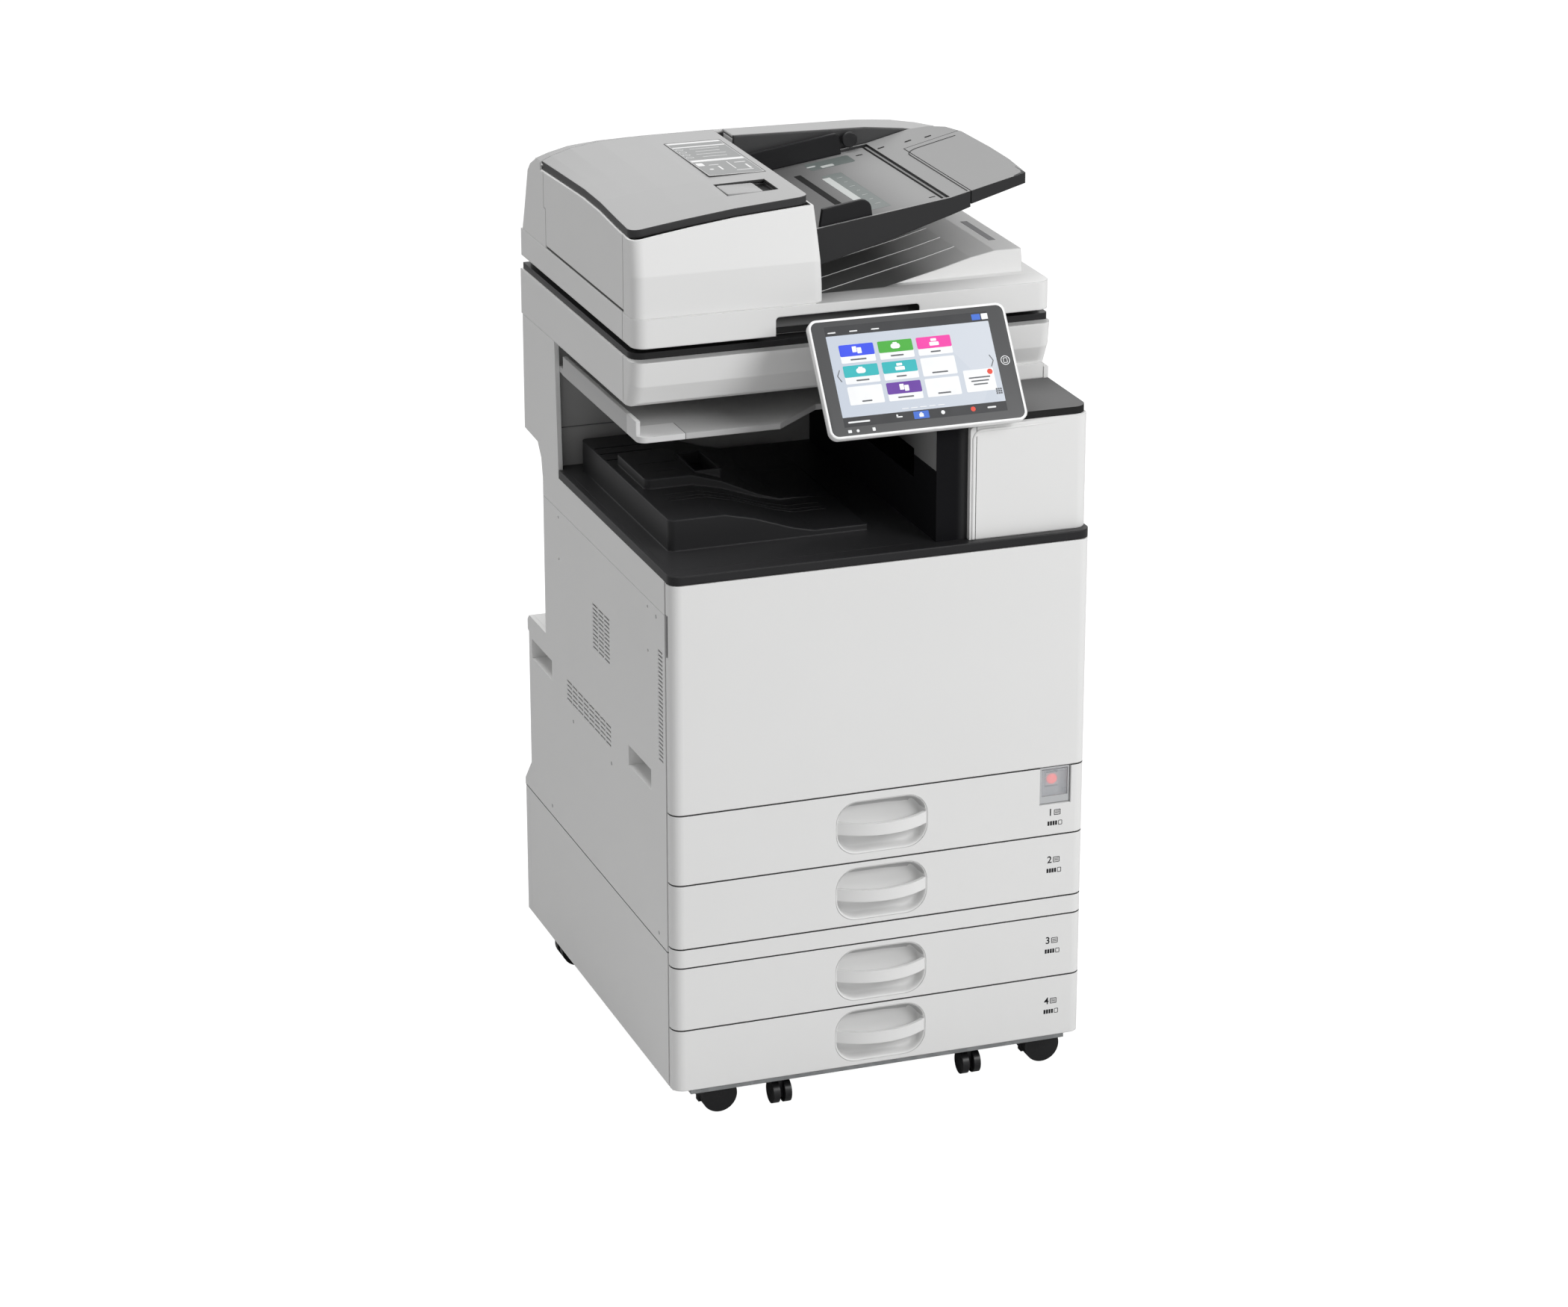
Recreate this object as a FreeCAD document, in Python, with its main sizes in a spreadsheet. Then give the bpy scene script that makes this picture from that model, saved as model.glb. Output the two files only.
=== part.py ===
import FreeCAD, Part
import os
import re
import Sketcher

# Floor-standing office photocopier: a print engine on a two-tray paper bank, with a scanner and a
# document feeder on top. Millimetres, +Z up, front faces -Y, origin on the floor under the middle.

SIZES = {
    # outer body
    "body_half_width": 293.5,
    "front_plane": -326.0,
    "corner_radius": 15.5,
    "skin": 2.5,
    "seam": 1.2,
    "running_gap": 0.3,
    "front_depth": 20.0,
    "side_start": 25.0,
    "frame_start": 27.0,
    "frame_inset": 6.5,
    "sheet_steel": 2.0,
    "transport_depth": 41.5,
    # heights of the stack of fronts, from the floor up
    "base_height": 47.0,
    "rail_height": 5.6,
    "tray_4_height": 88.9,
    "tray_3_height": 90.3,
    "strip_height": 27.1,
    "tray_2_height": 91.2,
    "tray_1_height": 98.9,
    "door_height": 319.3,
    "rim_height": 11.7,
    # paper bank
    "bank_height": 247.0,
    "bank_step": 12.0,
    "bank_rear_step": 20.0,
    "bank_rear_radius": 3.0,
    "base_inset": 23.5,
    "base_lip": 2.5,
    "rail_toe": 15.0,
    "rail_flange": 2.0,
    "foot_width": 14.0,
    "foot_length": 16.0,
    "foot_drop": 8.0,
    "foot_middle": 142.0,
    "foot_rear": 340.0,
    # engine frame and rear
    "engine_depth": 551.0,
    "rear_flat_step": 6.0,
    "rear_box_depth": 89.0,
    "rear_foot_step": 32.0,
    "lid_step": 6.0,
    "foot_rise": 10.0,
    "foot_slope_rise": 35.0,
    "box_rise": 245.0,
    "lid_rise": 25.0,
    "overhang_height": 50.0,
    "overhang_rise": 16.0,
    "shelf_rise": 3.0,
    "top_plate_drop": 20.0,
    "upper_cover_drop": 59.0,
    # hinge pins
    "hinge_pin": 2.0,
    "pin_length": 8.0,
    "pin_play": 0.05,
    "lug_thickness": 3.0,
    "front_pin_inset": 10.0,
    "front_pin_y": 11.0,
    "right_pin_inset": 5.5,
    "right_pin_back": 4.5,
    "bank_pin_inset": 10.5,
    "bank_pin_back": 5.5,
    "bank_pin_clear": 10.5,
    "bank_lug_half_x": 5.0,
    "bank_lug_half_y": 7.0,
    "table_pin_x": -33.5,
    "table_pin_drop": 4.5,
    # casters
    "caster_inset": 58.3,
    "front_caster_y": 51.0,
    "rear_caster_inset": 73.0,
    "caster_trail": 16.0,
    "wheel_radius": 25.0,
    "wheel_width": 13.0,
    "fork_width": 11.0,
    "axle_radius": 3.0,
    "stem_radius": 5.0,
    "plate_radius": 14.0,
    "plate_thickness": 1.9,
    "small_left_x": 132.8,
    "small_right_x": 142.5,
    "small_caster_y": 35.4,
    "small_radius": 16.5,
    "small_width": 9.6,
    "small_fork": 6.4,
    # drawers
    "handle_width": 130.0,
    "handle_height": 75.0,
    "handle_round": 30.0,
    "recess_depth": 17.0,
    "grip_height": 17.0,
    "grip_bow": 20.0,
    "grip_radius": 107.0,
    "grip_thickness": 5.0,
    "grip_drop": 6.5,
    "pan_lift": 8.0,
    "pan_height": 62.0,
    "pan_length": 500.0,
    "pan_wall": 2.5,
    "runner_level": 24.0,
    "runner_width": 24.0,
    "runner_thickness": 3.0,
    "runner_play": 0.5,
    # main switch behind its flap
    "switch_width": 45.0,
    "switch_inset": 21.5,
    "switch_depth": 54.0,
    "flap_height": 37.5,
    "rocker_depth": 18.5,
    "flap_thickness": 2.5,
    "flap_pin": 1.6,
    # hand grips in the left side
    "grip_low": 456.0,
    "grip_high": 485.0,
    "front_grip_start": 87.0,
    "grip_width": 96.0,
    "rear_grip_inset": 14.0,
    "grip_pocket": 28.0,
    # accessory fixing holes in the left side
    "dock_hole_radius": 2.2,
    "dock_centre_y": 291.0,
    "dock_drop": 100.0,
    "dock_spacing_y": 392.0,
    "dock_spacing_z": 60.8,
    # louvres in the left side
    "louvre_height": 3.2,
    "louvre_gap": 3.1,
    "front_louvre_start": 35.0,
    "front_louvre_rise": 63.0,
    "front_louvre_width": 18.0,
    "front_louvre_pitch": 5.8,
    "upper_louvre_start": 261.0,
    "upper_louvre_rise": 123.0,
    "upper_louvre_width": 22.6,
    "upper_louvre_pitch": 6.1,
    "lower_louvre_start": 260.0,
    "lower_louvre_rise": 4.0,
    "lower_louvre_width": 22.1,
    "lower_louvre_pitch": 6.6,
    # exit cavity
    "cavity_back_inset": 51.0,
    "step_inset": 31.5,
    "step_right": 14.0,
    "step_front": 98.0,
    "step_middle": 232.0,
    "step_back_inset": 23.0,
    "step_end_inset": 120.0,
    "step_radius": 8.0,
    "upper_step_inset": 12.0,
    "lower_step_rise": 43.0,
    "lower_step_toe": 8.0,
    "upper_step_rise": 57.0,
    "step_wall": 3.0,
    "slot_left": 172.0,
    "slot_width": 32.0,
    "slot_front": 254.0,
    "slot_length": 82.0,
    "slot_depth": 18.0,
    "bin_drop": 43.0,
    "bin_front": 140.0,
    "bin_thickness": 8.0,
    "bin_rim_drop": 16.0,
    "bin_rim_width": 6.0,
    "bin_radius": 12.0,
    "bin_cut_x": 93.0,
    "bin_cut_right": 20.0,
    "bin_cut_depth": 65.0,
    # right-hand tower beside the exit cavity
    "tower_width": 213.5,
    "tower_front": 20.0,
    "tower_cover_width": 169.5,
    "tower_cover_front": 12.0,
    "tower_cover_depth": 50.0,
    "tower_radius": 18.0,
    "tower_corner": 6.0,
    "tower_wall": 3.0,
    "tower_drop": 26.0,
    "tower_top_thickness": 10.0,
    "exit_slot_rise": 65.0,
    "exit_slot_height": 40.0,
    "scanner_step_front": 156.0,
    # scanner
    "cavity_height": 181.0,
    "scanner_height": 64.0,
    "scanner_top_front": 143.0,
    "scanner_base_front": 165.0,
    "scanner_rear_step": 5.0,
    "scanner_wall": 5.0,
    "band_height": 9.0,
    "band_inset": 3.0,
    "band_right_inset": 0.5,
    "band_right_radius": 6.0,
    "band_front": 160.0,
    "glass_inset_left": 78.5,
    "glass_inset_right": 68.5,
    "glass_front": 200.0,
    "glass_depth": 310.0,
    "glass_thickness": 4.0,
    "slit_inset": 31.5,
    "lid_axis_inset": 4.0,
    "lid_axis_drop": 0.5,
    "lid_barrel": 4.0,
    "lid_barrel_start": 150.0,
    "lid_barrel_length": 60.0,
    "slit_width": 30.0,
    "carriage_width": 26.0,
    "carriage_front": 185.0,
    "carriage_length": 350.0,
    "carriage_height": 30.0,
    "guide_rib_height": 18.0,
    "guide_rib_width": 6.0,
    # seams between mouldings on the left face
    "groove_width": 1.2,
    "groove_depth": 1.0,
    "shadow_gap": 4.0,
    "corner_seam": 186.5,
    "rear_seam_inset": 116.0,
    # document feeder
    "lid_gap": 2.0,
    "feeder_base_height": 48.0,
    "feeder_base_front": 137.0,
    "feeder_base_inset": 5.5,
    "feeder_radius": 18.0,
    "undercut_rise": 9.5,
    "undercut_depth": 41.0,
    "undercut_side": 13.0,
    "notch_half_width": 100.0,
    "notch_height": 35.0,
    "notch_radius": 5.0,
    "notch_back": 176.0,
    "exit_front": 183.0,
    "platform_front": 195.0,
    "platform_rise": 32.0,
    "platform_left": 89.0,
    "platform_inset": 23.5,
    "feeder_left_front": 140.0,
    "feeder_left_right": -43.0,
    "feeder_lean": 12.0,
    "crease_rise": 56.0,
    "feeder_setback": 13.0,
    "feeder_cover_inset": 102.0,
    "feeder_wall": 3.0,
    "feeder_height": 140.0,
    "crown_left": 56.0,
    "crown_front": 156.0,
    "crown_drop_1": 26.5,
    "crown_drop_2": 23.5,
    "crown_drop_3": 18.2,
    "crown_drop_4": 17.2,
    "crown_drop_5": 20.7,
    "crown_drop_6": 24.5,
    "crown_right": 58.0,
    "crown_right_drop": 25.0,
    "crown_right_step": 2.5,
    "cover_rim": 11.0,
    "cover_inset": 2.5,
    "cover_right": -47.0,
    "cover_skin": 4.0,
    "cover_pin": 1.2,
    "cover_pin_x": -291.0,
    "cover_pin_z": 1195.8,
    "hood_overlap": 43.0,
    "hood_inset": 13.0,
    "recess_right": 72.0,
    "recess_left": 142.0,
    "recess_front": 206.0,
    "recess_back": 262.0,
    "cushion_thickness": 5.6,
    # document table
    "table_left": -37.0,
    "table_undercut": 5.0,
    "table_front": 180.0,
    "table_back_inset": 46.0,
    "table_bend_inset": 112.0,
    "table_inset": 21.5,
    "table_taper": 6.5,
    "table_round": 50.0,
    "table_low_drop": 53.0,
    "table_bend_rise": 27.0,
    "table_tip_rise": 26.5,
    "table_wall_depth": 50.0,
    "table_bend_depth": 24.0,
    "table_tip_depth": 14.0,
    "table_skin": 4.0,
    "table_sink": 4.0,
    "extension_length": 83.0,
    "extension_inset": 73.0,
    "tongue_length": 80.0,
    "guide_thickness": 6.0,
    "front_guide_left": -22.0,
    "front_guide_right": 52.0,
    "front_guide_height": 23.0,
    "front_guide_round": 13.0,
    "rear_guide_left": -31.0,
    "rear_guide_right": 120.0,
    "rear_guide_height": 26.0,
    "rear_guide_round": 6.0,
    "guide_lean": 4.0,
    # operation panel
    "panel_width": 273.4,
    "panel_height": 162.5,
    "panel_rim": 10.0,
    "panel_back": 6.0,
    "panel_back_inset": 14.0,
    "panel_radius": 12.0,
    "panel_x": 57.7,
    "panel_y": 32.0,
    "panel_drop": 12.0,
    "panel_tilt": 35.3,
    "pivot_up": 40.0,
    "pivot_behind": 24.0,
    "arm_left": 20.0,
    "arm_right": 95.0,
    # right side door and bypass tray
    "right_door_front": 75.0,
    "right_door_inset": 71.0,
    "right_door_rise": 15.0,
    "right_door_drop": 30.0,
    "right_hinge_play": 3.2,
    "bypass_front": 112.0,
    "bypass_inset": 38.0,
    "bypass_rise": 118.0,
    "bypass_height": 260.0,
    "bypass_depth": 14.0,
    "bypass_thickness": 9.0,
    "bypass_pivot": 8.0,
    "bank_door_front": 26.0,
    "bank_door_inset": 7.0,
    "bank_path_front": 72.0,
    "bank_path_inset": 64.0,
    "bank_path_low": 68.0,
    "bank_path_drop": 15.0,
    # engine units
    "drum_x": 60.0,
    "drum_rise": 148.0,
    "drum_radius": 15.0,
    "drum_shaft": 5.0,
    "shaft_play": 0.05,
    "bottle_x": -150.0,
    "bottle_rise": 198.0,
    "bottle_radius": 45.0,
    "bottle_length": 390.0,
    "inner_plate": 30.0,
    "fuser_width": 80.0,
    "fuser_drop": 84.0,
    "fuser_height": 76.0,
    "laser_inset": 63.5,
    "laser_right": 20.0,
    "laser_height": 62.0,
    "unit_front": 60.0,
    "unit_inset": 51.0,
    "electronics_inset": 93.5,
    "electronics_depth": 48.0,
    "electronics_rise": 15.0,
    "electronics_height": 218.0,
    "inlet_inset": 103.5,
    "inlet_rise": 83.0,
    "inlet_half_width": 14.0,
    "inlet_half_height": 10.5,
    "inlet_flange": 6.0,
}

# Places that follow from the sizes, so that neighbours keep together when one size changes
FOLLOWS = {
    "door_level": "base_height + rail_height + tray_4_height + tray_3_height + strip_height"
                  " + tray_2_height + tray_1_height",
    "rim_top": "door_level + door_height + rim_height",
    "base_half_width": "body_half_width - base_inset",
    "caster_spread": "body_half_width - caster_inset",
    "rear_flat": "engine_depth + rear_flat_step",
    "rear_box": "engine_depth + rear_box_depth",
    "rear_foot": "rear_box + rear_foot_step",
    "lid_back": "rear_box + lid_step",
    "bank_depth": "rear_box + bank_step",
    "bank_rear": "bank_depth + bank_rear_step",
    "foot_top": "bank_height + foot_rise",
    "foot_slope_top": "foot_top + foot_slope_rise",
    "box_lid": "bank_height + box_rise",
    "box_top": "box_lid + lid_rise",
    "overhang_end": "rim_top + overhang_rise",
    "overhang_start": "overhang_end - overhang_height",
    "shelf_height": "door_level + shelf_rise",
    "top_plate_height": "rim_top - top_plate_drop",
    "upper_cover_start": "rim_top - upper_cover_drop",
    "rear_caster_y": "bank_depth - rear_caster_inset",
    "rear_grip_end": "rear_box - rear_grip_inset",
    "rear_grip_start": "rear_grip_end - grip_width",
    "front_grip_end": "front_grip_start + grip_width",
    "dock_centre_z": "rim_top - dock_drop",
    "cavity_back": "engine_depth - cavity_back_inset",
    "step_left": "body_half_width - step_inset",
    "step_back": "cavity_back - step_back_inset",
    "step_end": "step_back - step_end_inset",
    "bin_level": "scanner_base - bin_drop",
    "bin_rim": "scanner_base - bin_rim_drop",
    "tower_side": "body_half_width - tower_width",
    "tower_cover_left": "body_half_width - tower_cover_width",
    "tower_top_height": "scanner_base - tower_drop",
    "exit_slot_low": "rim_top + exit_slot_rise",
    "exit_slot_high": "exit_slot_low + exit_slot_height",
    "scanner_base": "rim_top + cavity_height",
    "scanner_top": "scanner_base + scanner_height",
    "scanner_rear": "rear_box + scanner_rear_step",
    "glass_left": "body_half_width - glass_inset_left",
    "glass_right": "body_half_width - glass_inset_right",
    "slit_left": "body_half_width - slit_inset",
    "feeder_base_low": "scanner_top + band_height + lid_gap",
    "feeder_base_top": "feeder_base_low + feeder_base_height",
    "feeder_base_right": "body_half_width - feeder_base_inset",
    "notch_high": "feeder_base_low + notch_height",
    "undercut_top": "feeder_base_low + undercut_rise",
    "platform_right": "body_half_width - platform_inset",
    "feeder_crease": "feeder_base_top + crease_rise",
    "feeder_cover_back": "scanner_rear - feeder_cover_inset",
    "feeder_top": "feeder_base_top + feeder_height",
    "hood_front": "feeder_cover_back - hood_overlap",
    "hood_rear": "scanner_rear - hood_inset",
    "table_back": "feeder_cover_back - table_back_inset",
    "table_right": "body_half_width - table_inset",
    "table_front_right": "table_right - table_taper",
    "table_low_z": "feeder_top - table_low_drop",
    "table_bend_z": "table_low_z + table_bend_rise",
    "table_tip_z": "table_bend_z + table_tip_rise",
    "table_pin_z": "table_low_z - table_pin_drop",
    "table_bend": "table_right - table_bend_inset",
    "extension_left": "table_right - extension_length",
    "extension_back": "table_back - extension_inset",
    "panel_z": "scanner_top - panel_drop",
    "right_door_back": "engine_depth - right_door_inset",
    "right_door_low": "bank_height + right_door_rise",
    "right_door_high": "rim_top - right_door_drop",
    "right_pin_y": "right_door_back - right_pin_back",
    "bypass_back": "right_door_back - bypass_inset",
    "bypass_high": "bypass_low + bypass_height",
    "bypass_low": "right_door_low + bypass_rise",
    "bank_door_back": "bank_depth - bank_door_inset",
    "bank_pin_x": "body_half_width - bank_pin_inset",
    "bank_pin_y": "bank_door_back - bank_pin_back",
    "front_pin_x": "body_half_width - front_pin_inset",
    "bank_path_back": "bank_depth - bank_path_inset",
    "bank_path_high": "bank_height - bank_path_drop",
    "switch_right": "body_half_width - switch_inset",
    "switch_left": "switch_right - switch_width",
    "drum_z": "shelf_height + drum_rise",
    "bottle_z": "shelf_height + bottle_rise",
    "fuser_low": "top_plate_height - fuser_drop",
    "laser_left": "body_half_width - laser_inset",
    "unit_back": "engine_depth - unit_inset",
    "box_half_width": "body_half_width - electronics_inset",
    "electronics_low": "bank_height + electronics_rise",
    "electronics_high": "electronics_low + electronics_height",
    "inlet_x": "body_half_width - inlet_inset",
    "inlet_z": "bank_height + inlet_rise",
}

doc = FreeCAD.newDocument("Photocopier")
sizes = doc.addObject("Spreadsheet::Sheet", "Sizes")
for row, (name, value) in enumerate(SIZES.items(), 1):
    sizes.set(f"A{row}", name)
    sizes.set(f"B{row}", str(value))
    sizes.setAlias(f"B{row}", name)
doc.recompute()

PIECES = []


def linked(text):
    """An expression with every size name pointed at its cell in the sheet, and every place worked out from sizes."""
    def meaning(word):
        if word[0] in FOLLOWS:
            return f"({linked(FOLLOWS[word[0]])})"
        return "Sizes." + word[0] if word[0] in SIZES else word[0]

    return re.sub(r"[a-z]\w*", meaning, text)


def number(text):
    return float(sizes.evalExpression(linked(text)))


def bind(item, place, text):
    item.setExpression(place, linked(text))


def back(distance):
    """A place behind the plane of the front covers."""
    return f"front_plane + {distance}"


def box(x, y, z):
    item = doc.addObject("Part::Box", "Block")
    for side, axis, (low, high) in zip(("Length", "Width", "Height"), "xyz", (x, y, z)):
        bind(item, side, f"({high}) - ({low})")
        bind(item, f"Placement.Base.{axis}", low)
    return item


TURNS = {
    "x": FreeCAD.Rotation(FreeCAD.Vector(0, 1, 0), 90),
    "y": FreeCAD.Rotation(FreeCAD.Vector(1, 0, 0), -90),
    "z": FreeCAD.Rotation(),
}


def rod(axis, centre, radius, span):
    """A round bar along an axis; centre holds its other two coordinates in X, Y, Z order."""
    item = doc.addObject("Part::Cylinder", "Rod")
    item.Placement = FreeCAD.Placement(FreeCAD.Vector(), TURNS[axis])
    bind(item, "Radius", radius)
    bind(item, "Height", f"({span[1]}) - ({span[0]})")
    places = dict(zip([letter for letter in "xyz" if letter != axis], centre))
    places[axis] = span[0]
    for letter, text in places.items():
        bind(item, f"Placement.Base.{letter}", text)
    return item


PLANES = {"x": "YZ_Plane", "y": "XZ_Plane", "z": "XY_Plane"}


def pin(axis, centre, span):
    return rod(axis, centre, "hinge_pin", span)


def pin_hole(axis, centre, span):
    return rod(axis, centre, "hinge_pin + pin_play", span)


def draw(sketch, outline):
    """Close an outline in a sketch; each point is a pair of expressions that stay tied to the sheet."""
    corners = [FreeCAD.Vector(number(u), number(v), 0) for u, v in outline]
    for start, end in zip(corners, corners[1:] + corners[:1]):
        sketch.addGeometry(Part.LineSegment(start, end))
    for index in range(len(corners)):
        following = (index + 1) % len(corners)
        sketch.addConstraint(Sketcher.Constraint("Coincident", index, 2, following, 1))
    for index, point in enumerate(outline):
        for kind, text in zip(("DistanceX", "DistanceY"), point):
            fixed = sketch.addConstraint(Sketcher.Constraint(kind, -1, 1, index, 1, number(text)))
            bind(sketch, f"Constraints[{fixed}]", text)
    return sketch


def prism(axis, outline, span):
    """A padded sketch, its outline given in the plane across the axis."""
    body = doc.addObject("PartDesign::Body", "Moulding")
    sketch = body.newObject("Sketcher::SketchObject", "Outline")
    plane = [item for item in body.Origin.OriginFeatures if item.Role == PLANES[axis]][0]
    sketch.AttachmentSupport = (plane, [""])
    sketch.MapMode = "FlatFace"
    draw(sketch, outline)
    pad = body.newObject("PartDesign::Pad", "Thickness")
    pad.Profile = sketch
    bind(pad, "Length", f"({span[1]}) - ({span[0]})")
    # the pad of a sketch on the XZ plane grows towards the front
    bind(body, f"Placement.Base.{axis}", span[1] if axis == "y" else span[0])
    return body


def loft(stations):
    """A skin over outlines across the machine, each with its place from front to back."""
    sections = []
    for place, outline in stations:
        sketch = draw(doc.addObject("Sketcher::SketchObject", "Section"), outline)
        sketch.Placement = FreeCAD.Placement(FreeCAD.Vector(), FreeCAD.Rotation(FreeCAD.Vector(1, 0, 0), 90))
        bind(sketch, "Placement.Base.y", place)
        sections.append(sketch)
    item = doc.addObject("Part::Loft", "Skin")
    item.Sections = sections
    item.Solid = True
    item.Ruled = True
    return item


def join(*items):
    item = doc.addObject("Part::MultiFuse", "Join")
    item.Shapes = list(items)
    item.Refine = True
    return item


def cut(base, *tools):
    item = doc.addObject("Part::Cut", "Cut")
    item.Base = base
    item.Tool = join(*tools) if len(tools) > 1 else tools[0]
    item.Refine = True
    return item


def common(first, second):
    item = doc.addObject("Part::Common", "Overlap")
    item.Base = first
    item.Tool = second
    return item


def group(*items):
    item = doc.addObject("Part::Compound", "Group")
    item.Links = list(items)
    return item


def rounded(base, radius, *corners):
    """Round the edges that lie on the given corners, each a dict of a place or a span along an axis."""
    doc.recompute()
    chosen = []
    for index, edge in enumerate(base.Shape.Edges, 1):
        for corner in corners:
            spans = [(axis, (place, place) if isinstance(place, str) else place) for axis, place in corner.items()]
            limits = [(axis, number(low) - 0.01, number(high) + 0.01) for axis, (low, high) in spans]
            if all(low < getattr(v.Point, axis) < high for v in edge.Vertexes for axis, low, high in limits):
                chosen.append((index, number(radius), number(radius)))
    item = doc.addObject("Part::Fillet", "Rounding")
    item.Base = base
    item.Edges = chosen
    return item


def piece(label, item):
    item.Label = label
    PIECES.append(item)
    return item


# Places that many pieces share
LEFT = "-body_half_width"
RIGHT = "body_half_width"
FRAME_LEFT = "frame_inset - body_half_width"
FRAME_RIGHT = "body_half_width - frame_inset"
INNER_RIGHT = "body_half_width - transport_depth"
FRAME_FRONT = back("frame_start")
LEVELS = {}
level = "base_height + rail_height"
for name in ("tray_4", "tray_3", "strip", "tray_2", "tray_1", "door", "rim"):
    LEVELS[name] = level
    level = f"{level} + {name}_height"
RIM_TOP = level


def front_panel(low, high):
    """A front cover the full width of the machine, with its two upright front corners rounded."""
    panel = box((LEFT, RIGHT), (back(0), back("front_depth")), (low, high))
    corners = [{"x": side, "y": back(0)} for side in (LEFT, RIGHT)]
    return rounded(panel, "corner_radius", *corners)


# Paper bank frame: folded sheet steel, with a thicker front rail and three short feet fixed under its floor
def bank_frame():
    across = ("-base_half_width", "base_half_width")
    rail = box(across, (back("sheet_steel"), back("sheet_steel + rail_toe")), ("base_height", LEVELS["tray_4"]))
    flange = box(across, (back("sheet_steel"), back("frame_start + base_lip")),
                 (f"{LEVELS['tray_4']} - rail_flange", LEVELS["tray_4"]))
    outside = box((FRAME_LEFT, FRAME_RIGHT), (FRAME_FRONT, back("bank_depth")), (LEVELS["tray_4"], "bank_height"))
    inside = box((f"{FRAME_LEFT} + sheet_steel", INNER_RIGHT),
                 (back("0"), back("bank_depth - sheet_steel")),
                 (f"{LEVELS['tray_4']} + sheet_steel", "bank_height - sheet_steel"))
    right_side = box((f"{INNER_RIGHT}", f"{FRAME_RIGHT} + 1"), (back("bank_path_front - 20"), back("bank_path_back + 20")),
                     (f"{LEVELS['tray_4']} + sheet_steel", "bank_height - sheet_steel"))
    wall = box((f"{INNER_RIGHT} - sheet_steel", INNER_RIGHT), (FRAME_FRONT, back("bank_depth")),
               (LEVELS["tray_4"], "bank_height"))
    door_pocket = box(("bank_pin_x - bank_pin_clear", f"{FRAME_RIGHT} + 1"),
                      (back("bank_pin_y - bank_pin_clear"), back("bank_depth + 1")),
                      (f"{LEVELS['tray_4']} + sheet_steel", "bank_height - sheet_steel"))
    door_pins = [pin("z", ("bank_pin_x", back("bank_pin_y")), (low, high)) for low, high in (
        (LEVELS["tray_4"], f"{LEVELS['tray_4']} + sheet_steel + pin_length"),
        ("bank_height - sheet_steel - pin_length", "bank_height"))]
    feet = [box((FRAME_LEFT, f"{FRAME_LEFT} + foot_width"), (back(place), back(f"{place} + foot_length")),
                (f"{LEVELS['tray_4']} - foot_drop", LEVELS["tray_4"])) for place in ("frame_start", "foot_middle", "foot_rear")]
    shell = join(cut(outside, inside, right_side, door_pocket), wall, *door_pins)
    return group(shell, join(rail, flange), *feet)


piece("bank_frame", bank_frame())


def side_cover(outline, side):
    """A moulded side cover: an outer skin with a rim that stands on the frame all round.

    Each outline point is (y, z, inward y, inward z), the last two as -1, 0 or 1 times the skin."""
    outer = [(back(y), z) for y, z, _, _ in outline]
    inner = [(back(f"{y} + {iy} * skin"), f"{z} + {iz} * skin") for y, z, iy, iz in outline]
    if side == "left":
        return cut(prism("x", outer, (LEFT, FRAME_LEFT)), prism("x", inner, (f"{LEFT} + skin", f"{FRAME_LEFT} + 1")))
    return cut(prism("x", outer, (FRAME_RIGHT, RIGHT)), prism("x", inner, (f"{FRAME_RIGHT} - 1", f"{RIGHT} - skin")))


BANK_SIDE = [
    ("side_start", f"{LEVELS['tray_4']} + seam", 1, 1),
    ("bank_depth - running_gap", f"{LEVELS['tray_4']} + seam", -1, 1),
    ("bank_depth - running_gap", "bank_height - seam / 2", -1, -1),
    ("side_start", "bank_height - seam / 2", 1, -1),
]
piece("bank_left_cover", side_cover(BANK_SIDE, "left"))


def bank_rear_cover():
    cover = box((LEFT, RIGHT), (back("bank_depth"), back("bank_rear")),
                (f"{LEVELS['tray_4']} + seam", "bank_height - seam / 2"))
    corners = [{"x": side, "y": back("bank_rear")} for side in (LEFT, RIGHT)]
    hollow = box((f"{LEFT} + skin", f"{RIGHT} - skin"), (back("bank_depth - 1"), back("bank_rear - skin")),
                 (f"{LEVELS['tray_4']} + seam + skin", "bank_height - seam / 2 - skin"))
    return cut(rounded(cover, "bank_rear_radius", *corners), hollow)


piece("bank_rear_cover", bank_rear_cover())


def front_strip():
    """Fixed strip over the joint between bank and engine, with a flange back to both frames."""
    strip = front_panel(f"{LEVELS['strip']} + seam", LEVELS["tray_2"])
    flange = box((FRAME_LEFT, INNER_RIGHT), (back("front_depth"), FRAME_FRONT),
                 (f"{LEVELS['strip']} + 8", f"{LEVELS['tray_2']} - 1"))
    return join(strip, flange)


piece("bank_front_strip", front_strip())


# Engine frame: base, side walls, shelf over the drawers, inner plate behind the door, top plate and rear wall,
# and two lugs with the pins of the right side door
DRUM_PLACE = ("drum_x", "drum_z")
BOTTLE_PLACE = ("bottle_x", "bottle_z")
RIGHT_PIN = (f"{RIGHT} - right_pin_inset", back("right_pin_y"))


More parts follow.
